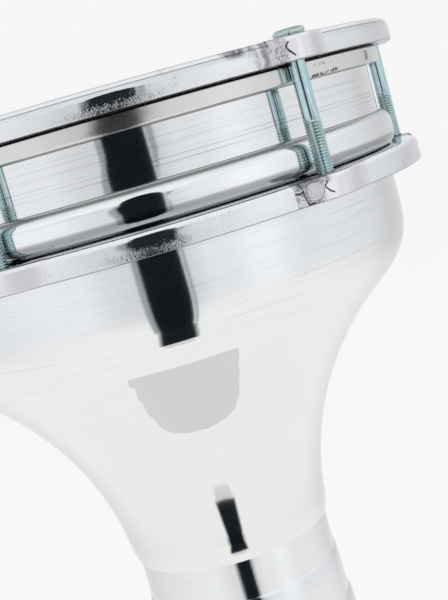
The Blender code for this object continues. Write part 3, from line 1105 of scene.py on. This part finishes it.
@dataclass
class Bowl:
    """Cast bowl with its bearing edge, collar, bead, shoulder, cone and waist band."""

    heights: Heights
    wall: float = 3.2
    collar: float = 96.7
    edge_rise: float = 5.5
    edge_round: float = 2.4
    collar_depth: float = 23.0
    bead: float = 100.4
    bead_crown: float = 4.6
    bead_height: float = 14.5
    bead_under_round: float = 4.0
    bowl: float = 96.2
    shoulder_depth: float = 57.0
    turn: float = 83.5
    turn_depth: float = 82.0
    neck: float = 39.8
    neck_depth: float = 161.0
    mouth: float = 38.3
    mouth_depth: float = 166.4
    bore: float = 35.5
    bore_length: float = 20.3

    def outside(self) -> list[Point]:
        """Return the outline of the outer side, from the bearing edge down."""
        level = self.heights.level
        edge = arc((self.collar - self.edge_round, level(-self.edge_rise) - self.edge_round), self.edge_round, 90, 0, 6)
        crown_centre = level(self.collar_depth) - self.bead_crown
        reach = self.bead - self.collar
        crown = [
            (self.collar + reach * sin(radians(a)), crown_centre + self.bead_crown * cos(radians(a)))
            for a in range(0, 91, 6)
        ]
        seat = self.bowl + self.collar_depth + self.bead_height
        under_end = self.bead - self.bead_under_round * (1 - cos(pi / 4))
        under_centre = level(seat - under_end) + self.bead_under_round * sin(pi / 4)
        under = arc((self.bead - self.bead_under_round, under_centre), self.bead_under_round, 0, -45, 6)
        foot_of_bead = [(self.bowl, level(self.collar_depth + self.bead_height))]
        return edge + crown + under + foot_of_bead + self.lower_outside()

    def lower_outside(self) -> list[Point]:
        """Return the outline from the straight bowl down to the mouth of the neck."""
        fall = self.turn_depth - self.shoulder_depth
        shoulder = bezier(
            (
                (self.bowl, self.shoulder_depth),
                (self.bowl, self.shoulder_depth + 0.52 * fall),
                (self.turn + 0.63 * (self.bowl - self.turn), self.turn_depth - 0.26 * fall),
                (self.turn, self.turn_depth),
            ),
            16,
        )
        width, drop = self.turn - self.neck, self.neck_depth - self.turn_depth
        cone = bezier(
            (
                (self.turn, self.turn_depth),
                (self.turn - 0.446 * width, self.turn_depth + 0.19 * drop),
                (self.neck + 0.073 * width, self.neck_depth - 0.468 * drop),
                (self.neck, self.neck_depth),
            ),
            34,
        )
        return self.heights.at_level(shoulder + cone[1:] + [(self.mouth, self.mouth_depth)])

    def inside(self) -> list[Point]:
        """Return the outline of the inner side, from the mouth of the neck up."""
        level = self.heights.level
        bore_top = level(self.mouth_depth) + self.bore_length
        moved = offset_inwards(self.lower_outside()[:-1:2], self.wall)
        curve = [point for point in moved if point[0] > self.bore + 1.0 and point[1] > bore_top + 2.0]
        top = (self.collar - self.wall, level(-self.edge_rise) - self.edge_round)
        return [(self.bore, level(self.mouth_depth)), (self.bore, bore_top)] + curve[::-1] + [top]

    def shades(self) -> tuple[HeightBand, ...]:
        """Return the painted shade at the hoop, in the crease, under the bead and at the waist."""
        level = self.heights.level
        return (
            HeightBand(level(6.2), 0.6, 0.55, 0.60),
            HeightBand(level(self.collar_depth - 0.05), 0.30, 0.22, 0.74),
            HeightBand(level(self.collar_depth + 0.1), 0.3, 3.0, 0.26),
            HeightBand(level(31.9), 1.3, 6.0, 0.55),
            HeightBand(level(35.8), 4.0, 0.6, 0.64),
            HeightBand(level(43.4), 0.4, 0.7, 0.75),
        )

    def marks(self) -> tuple[HeightBand, ...]:
        """Return the darker turning marks on the collar."""
        level = self.heights.level
        strong = tuple(HeightBand(level(depth), 0.16, 0.26, 0.62) for depth in (15.8, 17.1, 18.7))
        return strong + (HeightBand(level(10.4), 0.15, 0.2, 0.36), HeightBand(level(12.9), 0.15, 0.3, 0.30))

    def painted_highlights(self) -> tuple[HeightBand, ...]:
        """Return the painted highlights, along the bead and below the lower ring."""
        level = self.heights.level
        return (HeightBand(level(27.0), 2.0, 9.0, 1.0), HeightBand(level(30.0), 5.0, 4.0, 1.0), HeightBand(level(46.0), 2.0, 44.0, 0.55))

    def build(self) -> list[bpy.types.Object]:
        """Make the bowl.

        Returns:
            The piece.
        """
        finish = TurnedAluminium(
            "bowl_aluminium",
            calm=(298.0, 324.0),
            dull=(367.3, 369.2),
            warm_from=(332.0, 300.0),
            shades=self.shades(),
            marks=self.marks(),
            painted_highlights=self.painted_highlights(),
            patch=FrostedPatch(),
        ).make()
        piece = new_object("bowl_casting", turned_mesh("bowl_casting", self.outside() + self.inside()), finish)
        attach(piece, "drum_shell")
        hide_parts("shell_bowl")
        return [piece]


@dataclass
class Foot:
    """Stepped and flared foot with its rim and its hidden spigot."""

    heights: Heights
    wall: float = 2.6
    spigot: float = 35.2
    spigot_length: float = 20.0
    seat_depth: float = 166.45
    upper_band: float = 37.7
    upper_end: float = 181.5
    middle_band: float = 38.6
    middle_start: float = 189.0
    middle_end: float = 200.0
    lower_band: float = 39.8
    lower_start: float = 203.5
    rim: float = 80.0
    rim_width: float = 5.6
    rim_height: float = 8.0
    rim_round: float = 1.5

    def flare(self, steps: int) -> list[Point]:
        """Return the outline from the lower band down to the rim.

        Args:
            steps: How many straight steps it has.

        Returns:
            The outline.
        """
        start = self.heights.level(self.lower_start)
        drop = start - self.rim_height
        rim_inner = self.rim - self.rim_width
        spread = rim_inner - self.lower_band
        corners = (
            (self.lower_band, start),
            (self.lower_band + 0.05 * spread, start - 0.4 * drop),
            (self.lower_band + 0.35 * spread, start - 0.78 * drop),
            (rim_inner, self.rim_height),
        )
        return bezier(corners, steps)

    def outline(self) -> list[Point]:
        """Return the foot's closed outline."""
        level = self.heights.level
        seat = level(self.seat_depth)
        half = (self.upper_end + self.middle_start) / 2
        bands = self.heights.at_level(
            [
                (self.upper_band, self.seat_depth),
                (self.upper_band, self.upper_end),
                (self.upper_band + 0.35, self.upper_end + 0.5),
                (self.upper_band + 0.62, half - 1.5),
                (self.upper_band + 0.78, half + 1.0),
                (self.middle_band, self.middle_start),
                (self.middle_band, self.middle_end),
                (self.middle_band + 0.5, self.middle_end + 0.5),
                (self.lower_band - 0.25, self.lower_start - 1.2),
            ]
        )
        rim_inner = self.rim - self.rim_width
        rim = rounded_section(rim_inner, self.rim, 0.0, self.rim_height, (self.rim_round,) * 4)
        rim = rim[: 2 * (OUTER_CORNER_STEPS + 1)]
        outside = [(self.spigot, seat + self.spigot_length), (self.spigot, seat)] + bands + self.flare(30) + rim
        bore = self.spigot - self.wall
        inside = [(bore, seat + self.spigot_length), (bore, level(self.upper_end))]
        inside += [(self.lower_band - self.wall - 0.4, level(self.lower_start) + 0.4)]
        inside += offset_inwards(self.flare(15), self.wall)[2:-1]
        inside += [(rim_inner - self.wall * 0.4, self.rim_height * 0.5), (rim_inner, 0.0)]
        return outside + inside[::-1]

    def build(self) -> list[bpy.types.Object]:
        """Make the foot.

        Returns:
            The piece.
        """
        finish = TurnedAluminium(
            "foot_aluminium", colour=(0.900, 0.910, 0.915), run=LatheRun.FLARING, roughness=0.09, streak=0.18
        ).make()
        piece = new_object("turned_foot", turned_mesh("turned_foot", self.outline()), finish)
        piece.visible_glossy = False
        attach(piece, "drum_shell")
        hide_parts("foot")
        return [piece]


@dataclass
class Drumhead:
    """Film over the bearing edge, and the flesh hoop that holds it."""

    heights: Heights
    collar: float = 96.7
    clearance: float = 0.3
    film: float = 0.3
    edge_rise: float = 5.5
    edge_round: float = 2.4
    skirt: float = 5.0
    hoop_width: float = 3.9
    hoop_height: float = 5.9
    film_facets: int = 192
    film_rings: tuple[float, ...] = (20.0, 40.0, 60.0, 80.0)

    def film_outline(self) -> list[Point]:
        """Return the film's closed outline."""
        under = self.heights.level(-self.edge_rise) + self.clearance
        side = self.collar + self.clearance
        bend = self.edge_round + self.clearance
        low = self.heights.level(self.skirt)
        centre = (side - bend, under - bend)
        spots = (0.0, *self.film_rings)
        outer = [(r, under + self.film) for r in spots] + arc(centre, bend + self.film, 90, 0, 8)
        inner = [(r, under) for r in spots] + arc(centre, bend, 90, 0, 8)
        return outer + [(side + self.film, low), (side, low)] + inner[::-1]

    def build(self) -> list[bpy.types.Object]:
        """Make the film and the hoop.

        Returns:
            The pieces.
        """
        mesh = turned_mesh("film", self.film_outline(), self.film_facets)
        film = new_object("film", mesh, WhiteFilm("white_film_head").make())
        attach(film, "drum_shell")
        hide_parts("head_film")
        inner = self.collar + 2 * self.clearance + self.film
        top = self.heights.level(self.clearance)
        section = rounded_section(inner, inner + self.hoop_width, top - self.hoop_height, top, (0.5, 1.1, 0.4, 0.4))
        finish = HoopAluminium("hoop_strip").make()
        hoop = new_object("drawn_hoop", turned_mesh("drawn_hoop", section), finish)
        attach(hoop, "tension_hoop")
        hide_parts("flesh_hoop")
        return [film, hoop]


class RingPlace(Enum):
    """Which of the two tension rings a piece belongs to, and what it is called."""

    TOP = "top"
    LOWER = "lower"


@dataclass
class TensionRing:
    """One ring of bar with its six lugs and, on the lower ring, their pins."""

    place: RingPlace
    bottom: float
    body: str
    lug_half: float
    inner: float = 97.7
    outer: float = 107.5
    height: float = 8.0
    edges: tuple[float, float, float, float] = (1.5, 0.6, 1.0, 1.2)
    lug_edges: Point = (1.5, 0.6)
    seat: float = 0.0
    web: float = 2.0
    reach: float = 3.5
    clearance: float = 0.3
    cut_margin: float = 1.0
    pocket_reach: float = 4.0
    lug_steps: int = 40
    count: int = 6
    first: float = 30.0
    bolt_circle: float = 104.5
    hole: float = 3.3
    hole_facets: int = 40
    pin_radius: float = 3.1
    pin_offset: float = 10.0
    pin_facets: int = 36
    slope_drop: float = 3.0
    slope_tilt: float = 19.0
    worn: Point = (2.3, 0.7)
    smear: Point = (0.0, 0.0)

    def azimuth(self, index: int) -> float:
        """Return one lug's azimuth in degrees."""
        return self.first + index * 360.0 / self.count

    def turned_to(self, index: int) -> Matrix:
        """Return the rotation from the -Y side to one lug's azimuth."""
        return Matrix.Rotation(radians(self.azimuth(index)), 4, "Z")

    def ring_mesh(self) -> bpy.types.Mesh:
        """Make the ring with a pocket for each lug.

        Returns:
            The mesh.
        """
        top = self.bottom + self.height
        outline = rounded_section(self.inner, self.outer, self.bottom, top, self.edges)
        if self.place is RingPlace.TOP:
            sloped = worn_corner(self.outer, top, self.slope_drop, self.slope_tilt)
            outline = sloped + outline[OUTER_CORNER_STEPS + 1 :]
        if self.seat:
            chamfer = [(self.inner, top - self.seat), (self.inner + self.seat, top)]
            outline = outline[: -(INNER_CORNER_STEPS + 1)] + chamfer
        mesh = turned_mesh(f"{self.place.value}_bar", outline)
        half = self.lug_half
        floor, far = self.inner + self.web, self.outer + self.pocket_reach
        low, high = self.bottom - self.cut_margin, top + self.cut_margin
        cutter = bmesh.new()
        for index in range(self.count):
            before = set(cutter.verts)
            prism(cutter, [(-half, -far), (half, -far), (half, -floor), (-half, -floor)], low, high)
            fresh = [corner for corner in cutter.verts if corner not in before]
            bmesh.ops.transform(cutter, matrix=self.turned_to(index), verts=fresh)
        return cut_away(mesh, closed_mesh(cutter, "pockets"))

    def front(self, x: float) -> float:
        """Return how far the lug's front stands from the axis at a place along the lug."""
        return sqrt(self.outer ** 2 - x ** 2) + self.reach * 0.5 * (1 + cos(pi * x / self.lug_half))

    def lug_mesh(self) -> bpy.types.Mesh:
        """Make a lug on the -Y side, with its bolt hole.

        Returns:
            The mesh.
        """
        top = self.bottom + self.height
        steps, half = self.lug_steps, self.lug_half
        spots = [half * (1 - 2 * step / steps) for step in range(steps + 1)]
        back = self.inner + self.web + self.clearance
        shape = bmesh.new()
        outline = [(-half, -back), (half, -back)] + [(x, -self.front(x)) for x in spots]
        prism(shape, outline[::-1], self.bottom, top)
        bmesh.ops.recalc_face_normals(shape, faces=shape.faces)
        front = -sqrt(self.outer ** 2 - half ** 2) * MILLIMETRE
        rims = {True: [], False: []}
        for edge in shape.edges:
            ends = [corner.co for corner in edge.verts]
            if abs(ends[0].z - ends[1].z) < 1e-7 and max(end.y for end in ends) < front + 1e-6:
                rims[ends[0].z * 1000 > self.bottom + self.height / 2].append(edge)
        for upper, size in ((True, self.lug_edges[0]), (False, self.lug_edges[1])):
            live = [edge for edge in rims[upper] if edge.is_valid]
            bmesh.ops.bevel(shape, geom=live, offset=size * MILLIMETRE, segments=4, profile=0.5, affect="EDGES")
        mesh = closed_mesh(shape, f"{self.place.value}_lug")
        hole = bmesh.new()
        spots = circle(self.hole, self.hole_facets, (0.0, -self.bolt_circle))
        prism(hole, spots, self.bottom - self.cut_margin, top + self.cut_margin)
        return cut_away(mesh, closed_mesh(hole, "bolt_hole"))

    def pin_mesh(self) -> bpy.types.Mesh:
        """Make a pin beside the bolt, its end ground flush with the lug's front.

        Returns:
            The mesh.
        """
        centre = (-self.pin_offset, self.bottom + self.height / 2)
        shape = bmesh.new()
        near = self.inner + self.clearance
        full = self.pin_radius
        rings = []
        for proud, radius in ((None, full), (-0.12, full), (0.10, full - 0.22), (0.16, 1.4)):
            spots = [
                (x, near if proud is None else self.front(x) + proud, z)
                for x, z in circle(radius, self.pin_facets, centre)
            ]
            rings.append([shape.verts.new((x * MILLIMETRE, -out * MILLIMETRE, z * MILLIMETRE)) for x, out, z in spots])
        join_rings(shape, rings)
        return closed_mesh(shape, "pin")

    def height_bands(self) -> tuple[HeightBand, ...]:
        """Return the painted shade lines along the bar's edges, which differ on the two rings."""
        if self.place is RingPlace.LOWER:
            return (HeightBand(self.bottom + 0.1, 0.50, 0.3, 0.70),)
        top = self.bottom + self.height
        upper = (HeightBand(top - 0.1, 0.2, 0.55, 0.85), HeightBand(top - 1.6, 0.28, 0.30, 0.62))
        return upper + (HeightBand(self.bottom + 0.05, 0.30, 0.3, 0.80),)

    def lug_finish(self) -> bpy.types.Material:
        """Return the lugs' material. Its cracks are (x, height above the ring's bottom) points."""
        if self.place is RingPlace.TOP:
            curve = bezier(((-5.7, 5.9), (-7.2, 4.8), (-6.4, 3.6), (-4.5, 1.7)), 6)
            return WeldedLug("top_lug_weld", self.bottom, (tuple(curve),), -6.2, 11.0).make()
        cracks = (
            ((-16.3, 4.9), (-14.7, 4.5), (-13.5, 5.0), (-13.5, 3.3), (-12.8, 1.6), (-12.5, 0.7), (-10.6, 0.6)),
            ((-14.2, 7.3), (-13.9, 6.0), (-13.5, 5.0)),
            ((-5.4, 6.0), (-6.5, 4.8), (-6.5, 4.2), (-5.2, 3.0), (-4.2, 2.1)),
        )
        return WeldedLug("lower_lug_weld", self.bottom, cracks, -7.0, 15.4, grimy=(-15.5, -4.5)).make()

    def build(self) -> list[bpy.types.Object]:
        """Make the ring, its lugs and its pins.

        Returns:
            The pieces.
        """
        name = self.place.value
        finish = PolishedBar(f"{name}_bar_polish", self.bottom, self.height_bands(), self.worn, self.smear).make()
        bar = new_object(f"{name}_bar", self.ring_mesh(), finish)
        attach(bar, self.body)
        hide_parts(f"{name}_ring")
        pieces = [bar]
        lug, finish = self.lug_mesh(), self.lug_finish()
        for index in range(self.count):
            piece = new_object(f"{name}_lug_block_{index + 1}", lug if index == 0 else lug.copy(), finish)
            piece.matrix_world = self.turned_to(index)
            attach(piece, self.body)
            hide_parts(f"{name}_lug_{index + 1}")
            pieces.append(piece)
        return pieces + (self.build_pins() if self.place is RingPlace.LOWER else [])

    def build_pins(self) -> list[bpy.types.Object]:
        """Make the pins of the lower ring.

        Returns:
            The pieces.
        """
        mesh, finish, pieces = self.pin_mesh(), GroundPin("ground_pin_end").make(), []
        for index in range(self.count):
            piece = new_object(f"ground_pin_{index + 1}", mesh if index == 0 else mesh.copy(), finish)
            piece.matrix_world = self.turned_to(index)
            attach(piece, self.body)
            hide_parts(f"lug_pin_{index + 1}")
            pieces.append(piece)
        return pieces


@dataclass
class TensionBolt:
    """Hexagon bolt with a plain rolled shank and a real helical thread."""

    index: int
    seat: float = 400.3
    circle_radius: float = 104.5
    first: float = 30.0
    count: int = 6
    shank: float = 2.68
    crest: float = 2.95
    root: float = 2.48
    pitch: float = 1.0
    thread_length: float = 24.0
    tooth_start: float = 0.16
    tooth_flank: float = 0.68
    fade_turns: float = 2.0
    tip_length: float = 1.2
    tip_chamfer: float = 0.7
    tip_taper: float = 0.75
    length: float = 50.0
    flats: float = 10.0
    corner: float = 46.3
    corner_step: float = 17.0
    head: float = 1.85
    underside_step: float = 0.15
    face_share: float = 0.83
    chamfer: float = 1.45
    corner_share: float = 1.125
    rim_share: float = 0.965
    head_facets: int = 120
    stem_facets: int = 40
    steps_per_turn: int = 8

    def head_into(self, shape: bmesh.types.BMesh) -> None:
        """Add the head, a hexagon whose top corners are turned to a cone.

        Args:
            shape: The bmesh to add to.
        """
        apothem = self.flats / 2
        start = radians(self.corner + self.index * self.corner_step - 90.0)
        levels = []
        for height in (0.0, 0.15, *(self.head - below for below in (1.2, 0.9, 0.6, 0.3, 0.05))):
            ring = []
            for k in range(self.head_facets):
                angle = start + 2 * pi * k / self.head_facets
                off = (angle - start) % (pi / 3) - pi / 6
                cone = apothem * self.face_share + (self.head - height) * self.chamfer
                radius = min(apothem / cos(off), cone, apothem * self.corner_share)
                if height == 0.0:
                    radius -= self.underside_step
                ring.append(shape.verts.new(Vector((cos(angle), sin(angle), 0)) * radius * MILLIMETRE))
                ring[-1].co.z = height * MILLIMETRE
            levels.append(ring)
        share, top = self.rim_share, self.head * MILLIMETRE
        levels.append([shape.verts.new((v.co.x * share, v.co.y * share, top)) for v in levels[-1]])
        join_rings(shape, levels)

    def shank_into(self, shape: bmesh.types.BMesh) -> None:
        """Add the plain shank and the threaded end as one closed stem.

        Args:
            shape: The bmesh to add to.
        """
        facets, per_turn = self.stem_facets, self.steps_per_turn
        start = self.thread_length - self.length
        plain = [(self.shank, 0.5), (self.shank, -0.5), (self.shank, start * 0.5), (self.shank, start + 1.0)]
        rings = [[self.spot(radius, height, k, facets) for k in range(facets)] for radius, height in plain]
        steps = int((self.thread_length - self.tip_length) / self.pitch * per_turn)
        for step in range(steps + 1):
            ring = []
            height = start - step * self.pitch / per_turn
            for k in range(facets):
                phase = (height / self.pitch + k / facets) % 1.0
                tooth = min(max((1 - abs(2 * phase - 1) - self.tooth_start) / self.tooth_flank, 0.0), 1.0)
                fade = min(step / (self.fade_turns * per_turn), 1.0)
                radius = self.shank + fade * (self.root + (self.crest - self.root) * tooth - self.shank)
                ring.append(self.spot(radius, height, k, facets))
            rings.append(ring)
        tip = ((self.root, -self.length + self.tip_chamfer), (self.root - self.tip_taper, -self.length))
        rings += [[self.spot(radius, height, k, facets) for k in range(facets)] for radius, height in tip]
        made = [[shape.verts.new(place) for place in ring] for ring in rings]
        for ring, following in zip(made, made[1:]):
            for k in range(facets):
                shape.faces.new((ring[k], following[k], following[(k + 1) % facets], ring[(k + 1) % facets]))
        shape.faces.new(made[0])
        shape.faces.new(made[-1][::-1])

    @staticmethod
    def spot(radius: float, height: float, k: int, facets: int) -> Vector:
        """Return one point of a stem's ring, in metres.

        Args:
            radius: The distance from the bolt's axis, in millimetres.
            height: The height above the head's underside.
            k: The point's number in the ring.
            facets: How many points the ring has.

        Returns:
            The point.
        """
        angle = 2 * pi * k / facets
        return Vector((radius * cos(angle), radius * sin(angle), height)) * MILLIMETRE

    def build(self, finish: bpy.types.Material) -> list[bpy.types.Object]:
        """Make the bolt.

        Args:
            finish: Its material.

        Returns:
            The piece.
        """
        shape = bmesh.new()
        self.head_into(shape)
        self.shank_into(shape)
        bmesh.ops.recalc_face_normals(shape, faces=shape.faces)
        number = self.index + 1
        piece = new_object(f"hex_bolt_{number}", written_mesh(shape, "hex_bolt"), finish)
        azimuth = radians(self.first + self.index * 360.0 / self.count)
        place = (self.circle_radius * sin(azimuth), -self.circle_radius * cos(azimuth), self.seat)
        piece.location = Vector(place) * MILLIMETRE
        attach(piece, f"tension_bolt_{number}")
        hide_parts(f"bolt_{number}")
        return [piece]


# Floor, light and camera


@dataclass
class Studio:
    """Pale floor, even white surround with one dark slit in it, soft lamps and the camera."""

    camera_azimuth: float = -4.573
    camera_distance: float = 454.35
    camera_height: float = 381.63
    yaw: float = 2.7714
    pitch: float = -8.4031
    roll: float = -15.9552
    focal_pixels: float = 1189.21
    image_height: int = 600
    sensor: float = 36.0
    clip_start: float = 0.01
    aim_height: float = 0.25
    lamps: tuple[tuple[str, tuple[float, float, float], float, float], ...] = (
        ("soft_left", (-1.2, -1.1, 1.5), 1.2, 6.0),
        ("soft_right", (1.4, -0.8, 1.3), 1.2, 5.0),
        ("soft_top", (0.1, 0.4, 1.9), 1.4, 5.0),
    )
    backdrop: float = 0.925
    floor_glow: float = 0.960
    floor_radius: float = 6.0
    fill: Colour = (0.95, 0.97, 1.0)
    fill_strength: float = 0.62
    below: float = 0.93
    above: Colour = (0.950, 0.965, 0.980)
    cloth: Colour = (0.980, 0.992, 1.012)
    blue_black: Colour = (0.0068, 0.0100, 0.0132)
    slope_black: Colour = (0.0095, 0.0135, 0.0175)
    edge_grey: Colour = (0.34, 0.36, 0.38)
    pale_grey: Colour = (0.71, 0.72, 0.73)
    ring_of_light: tuple[Point, ...] = (
        *((-180.0, 0.95), (-160.0, 0.76), (-150.0, 0.70), (-135.0, 0.69), (-120.0, 0.73), (-100.0, 0.80)),
        *((-80.0, 0.83), (-64.0, 0.87), (-45.0, 0.90), (-32.0, 0.89), (-22.0, 0.78), (-13.0, 0.72), (14.0, 0.70)),
        *((22.0, 0.84), (32.0, 0.86), (43.0, 0.96), (50.0, 0.96), (60.0, 0.88), (67.0, 0.82), (80.0, 0.85)),
        *((95.0, 0.84), (107.0, 0.81), (120.0, 0.74), (130.0, 0.665), (145.0, 0.69), (160.0, 0.75), (180.0, 0.95)),
    )

    def camera(self) -> None:
        """Place the camera at the photograph's viewing angle."""
        yaw, pitch, roll = (radians(angle) for angle in (self.yaw, self.pitch, self.roll))
        ahead = Vector((sin(yaw) * cos(pitch), cos(yaw) * cos(pitch), sin(pitch)))
        right = Vector((cos(yaw), -sin(yaw), 0.0))
        upward = right.cross(ahead)
        side = cos(roll) * right + sin(roll) * upward
        crown = -sin(roll) * right + cos(roll) * upward
        turn = Matrix.Rotation(radians(self.camera_azimuth), 3, "Z")
        place = turn @ Vector((0.0, -self.camera_distance, self.camera_height)) * MILLIMETRE
        axes = [turn @ axis for axis in (side, crown, -ahead)]
        data = bpy.data.cameras.new("photo_camera")
        data.lens = self.focal_pixels / self.image_height * self.sensor
        data.sensor_width = self.sensor
        data.clip_start = self.clip_start
        item = linked("photo_camera", data)
        item.matrix_world = Matrix(
            [[axes[0][row], axes[1][row], axes[2][row], place[row]] for row in range(3)] + [[0.0, 0.0, 0.0, 1.0]]
        )
        bpy.context.scene.camera = item

    def surround(self) -> None:
        """Make the world: even light, and a pale surround for what is seen or mirrored."""
        world = bpy.data.worlds.new("white_tent")
        bpy.context.scene.world = world
        world.use_nodes = True
        world.node_tree.nodes.clear()
        nodes = Nodes(world.node_tree)
        path = nodes.node("ShaderNodeLightPath")
        seen = Value(nodes, path.outputs["Is Camera Ray"])
        mirrored = Value(nodes, path.outputs["Is Glossy Ray"]).most(Value(nodes, path.outputs["Is Transmission Ray"]))
        shown = nodes.mix(seen, self.tent_colour(nodes), (self.backdrop,) * 3)
        lit = nodes.node("ShaderNodeBackground", {}, {"Color": self.fill, "Strength": self.fill_strength})
        tent = nodes.node("ShaderNodeBackground", {}, {"Color": shown, "Strength": 1.0})
        both = nodes.node("ShaderNodeMixShader", {}, {0: seen.most(mirrored), 1: lit.outputs[0], 2: tent.outputs[0]})
        nodes.node("ShaderNodeOutputWorld", {}, {"Surface": both.outputs[0]})

    def tent_colour(self, nodes: Nodes) -> bpy.types.NodeSocket:
        """Return what a mirrored ray sees: pale cloth, darker between its lights, with a bright top and floor.

        Args:
            nodes: The world's nodes.

        Returns:
            The colour.
        """
        ray = nodes.node("ShaderNodeTexCoord").outputs["Generated"]
        parts = nodes.node("ShaderNodeSeparateXYZ", {}, {"Vector": ray})
        x, y, z = (Value(nodes, parts.outputs[axis]) for axis in "XYZ")
        turn = x.math("ARCTAN2", -y) / (2 * pi) + (0.5 - self.camera_azimuth / 360.0)
        stops = [
            ((angle + 180.0) / 360.0, tuple(share * grey for share in self.cloth)) for angle, grey in self.ring_of_light
        ]
        cloth = nodes.node("ShaderNodeValToRGB", {"stops": stops}, {"Fac": turn.math("FRACT")})
        upper = nodes.mix(z.ramp(0.15, 0.55), cloth.outputs["Color"], self.above)
        return nodes.mix(z.ramp(-0.20, -0.65), upper, (self.below,) * 3)

    def card(self, name: str, corners: Sequence[tuple[float, float, float]], colour: Colour) -> None:
        """Make a flat card that only mirrored rays see.

        Args:
            name: Its name.
            corners: Its corners in millimetres, in the camera's own frame before it is turned to its azimuth.
            colour: Its brightness.
        """
        turn = Matrix.Rotation(radians(self.camera_azimuth), 3, "Z")
        mesh = bpy.data.meshes.new(name)
        mesh.from_pydata([turn @ Vector(corner) * MILLIMETRE for corner in corners], [], [list(range(len(corners)))])
        material = bpy.data.materials.new(name)
        material.use_nodes = True
        material.node_tree.nodes.clear()
        nodes = Nodes(material.node_tree)
        glow = nodes.node("ShaderNodeEmission", {}, {"Color": colour})
        nodes.node("ShaderNodeOutputMaterial", {}, {"Surface": glow.outputs[0]})
        mesh.materials.append(material)
        item = linked(name, mesh)
        for ray in ("camera", "diffuse", "shadow", "transmission"):
            setattr(item, f"visible_{ray}", False)

    def slit(self) -> None:
        """Hang the dark slit, with its grey edges, round the camera."""
        far = -self.camera_distance
        left, right, low, high = -47.0, 78.0, -60.0, 440.0
        near, rise = -152.0, 124.0
        behind = far - 1.0
        margin = [(-66.0, low), (-66.0, 330.0), (-80.0, 352.0), (-80.0, 368.0), (-66.0, 390.0), (-66.0, high)]
        margin += [(-46.0, high), (-46.0, low)]
        wedge = [(84.0, low), (94.0, low), (94.0, 330.0), (84.5, 356.0), (104.0, 392.0), (104.0, high), (84.0, high)]
        for name, outline in (("left_edge", margin), ("right_edge", wedge)):
            self.card(name, [(x, behind, z) for x, z in outline], self.edge_grey)
        angles = [radians(angle) for angle in range(0, 181, 12)]
        crown = [(15.5 + 62.5 * cos(angle), far, high + 225.0 * sin(angle) ** 0.9) for angle in angles]
        bulge = [(left, 396.0), (-55.0, 384.0), (-58.0, 366.0), (-55.0, 348.0), (left, 334.0)]
        sill = [(left, far, low), (right, far, low)]
        self.card("dark_slit", sill + crown + [(x, far, z) for x, z in bulge], self.blue_black)
        self.card("dark_slope", sill + [(28.0, near, rise), (-20.0, near, rise)], self.slope_black)
        under = [(-57.0, far, low - 2.0), (90.0, far, low - 2.0), (32.0, near, rise - 2.0), (-24.0, near, rise - 2.0)]
        self.card("slope_margin", under, self.edge_grey)
        beyond = [(20.0, near + 26.0, rise + 16.0), (-13.0, near + 26.0, rise + 16.0)]
        self.card("slope_edge", [(-20.0, near, rise), (28.0, near, rise)] + beyond, self.pale_grey)

    def floor(self) -> None:
        """Lay the pale floor, which shows the surround to the camera and keeps the drum's shadow."""
        shape = bmesh.new()
        bmesh.ops.create_circle(shape, cap_ends=True, segments=96, radius=self.floor_radius)
        mesh = written_mesh(shape, "floor")
        material = bpy.data.materials.new("pale_floor")
        material.use_nodes = True
        nodes = Nodes(material.node_tree)
        shader = nodes.tree.nodes["Principled BSDF"]
        nodes.feed(shader.inputs["Base Color"], (0.90, 0.90, 0.90))
        nodes.feed(shader.inputs["Roughness"], 0.9)
        glow = nodes.node("ShaderNodeEmission", {}, {"Color": (self.floor_glow,) * 3})
        seen = Value(nodes, nodes.node("ShaderNodeLightPath").outputs["Is Camera Ray"])
        both = nodes.node("ShaderNodeMixShader", {}, {0: seen * 0.9, 1: shader.outputs[0], 2: glow.outputs[0]})
        nodes.feed(nodes.tree.nodes["Material Output"].inputs["Surface"], both.outputs[0])
        mesh.materials.append(material)
        item = linked("floor", mesh)
        item.visible_glossy = False

    def lamp(self, name: str, place: tuple[float, float, float], size: float, power: float) -> None:
        """Hang a soft square lamp that faces the drum.

        Args:
            name: Its name.
            place: Where it hangs, in metres.
            size: Its side in metres.
            power: Its power in watts.
        """
        data = bpy.data.lights.new(name, "AREA")
        data.shape = "SQUARE"
        data.size = size
        data.energy = power
        item = linked(name, data)
        item.location = place
        aim = Vector((0.0, 0.0, self.aim_height)) - Vector(place)
        item.rotation_euler = aim.to_track_quat("-Z", "Y").to_euler()
        item.visible_glossy = False

    def build(self) -> None:
        """Set up the camera, the light and the floor."""
        bpy.context.scene.view_settings.view_transform = "Standard"
        self.camera()
        self.surround()
        self.slit()
        self.floor()
        for name, place, size, power in self.lamps:
            self.lamp(name, place, size, power)


def report(pieces: Sequence[bpy.types.Object]) -> None:
    """Log each piece's name and how many faces it has.

    Args:
        pieces: The pieces of one sub-assembly.
    """
    for piece in pieces:
        LOG.info("%s: %d faces, on %s", piece.name, len(piece.data.polygons), piece.get("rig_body"))


def main() -> None:
    """Build the drum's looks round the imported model."""
    logging.basicConfig(level=logging.INFO, format="%(name)s %(message)s")
    Studio().build()
    heights = Heights()
    report(Bowl(heights).build())
    report(Foot(heights).build())
    report(Drumhead(heights).build())
    report(TensionRing(RingPlace.TOP, heights.ring_plane, "tension_hoop", 11.8, smear=(15.0, 24.0)).build())
    lower = TensionRing(
        RingPlace.LOWER,
        heights.lower_ring_top - heights.ring_height,
        "drum_shell",
        16.5,
        edges=(2.3, 0.6, 1.0, 1.2),
        lug_edges=(1.9, 0.6),
        seat=1.0,
        worn=(2.9, 0.9),
    )
    report(lower.build())
    zinc = ZincPlate("zinc_bolt").make()
    for index in range(6):
        report(TensionBolt(index).build(zinc))


if __name__ == "__main__":
    main()
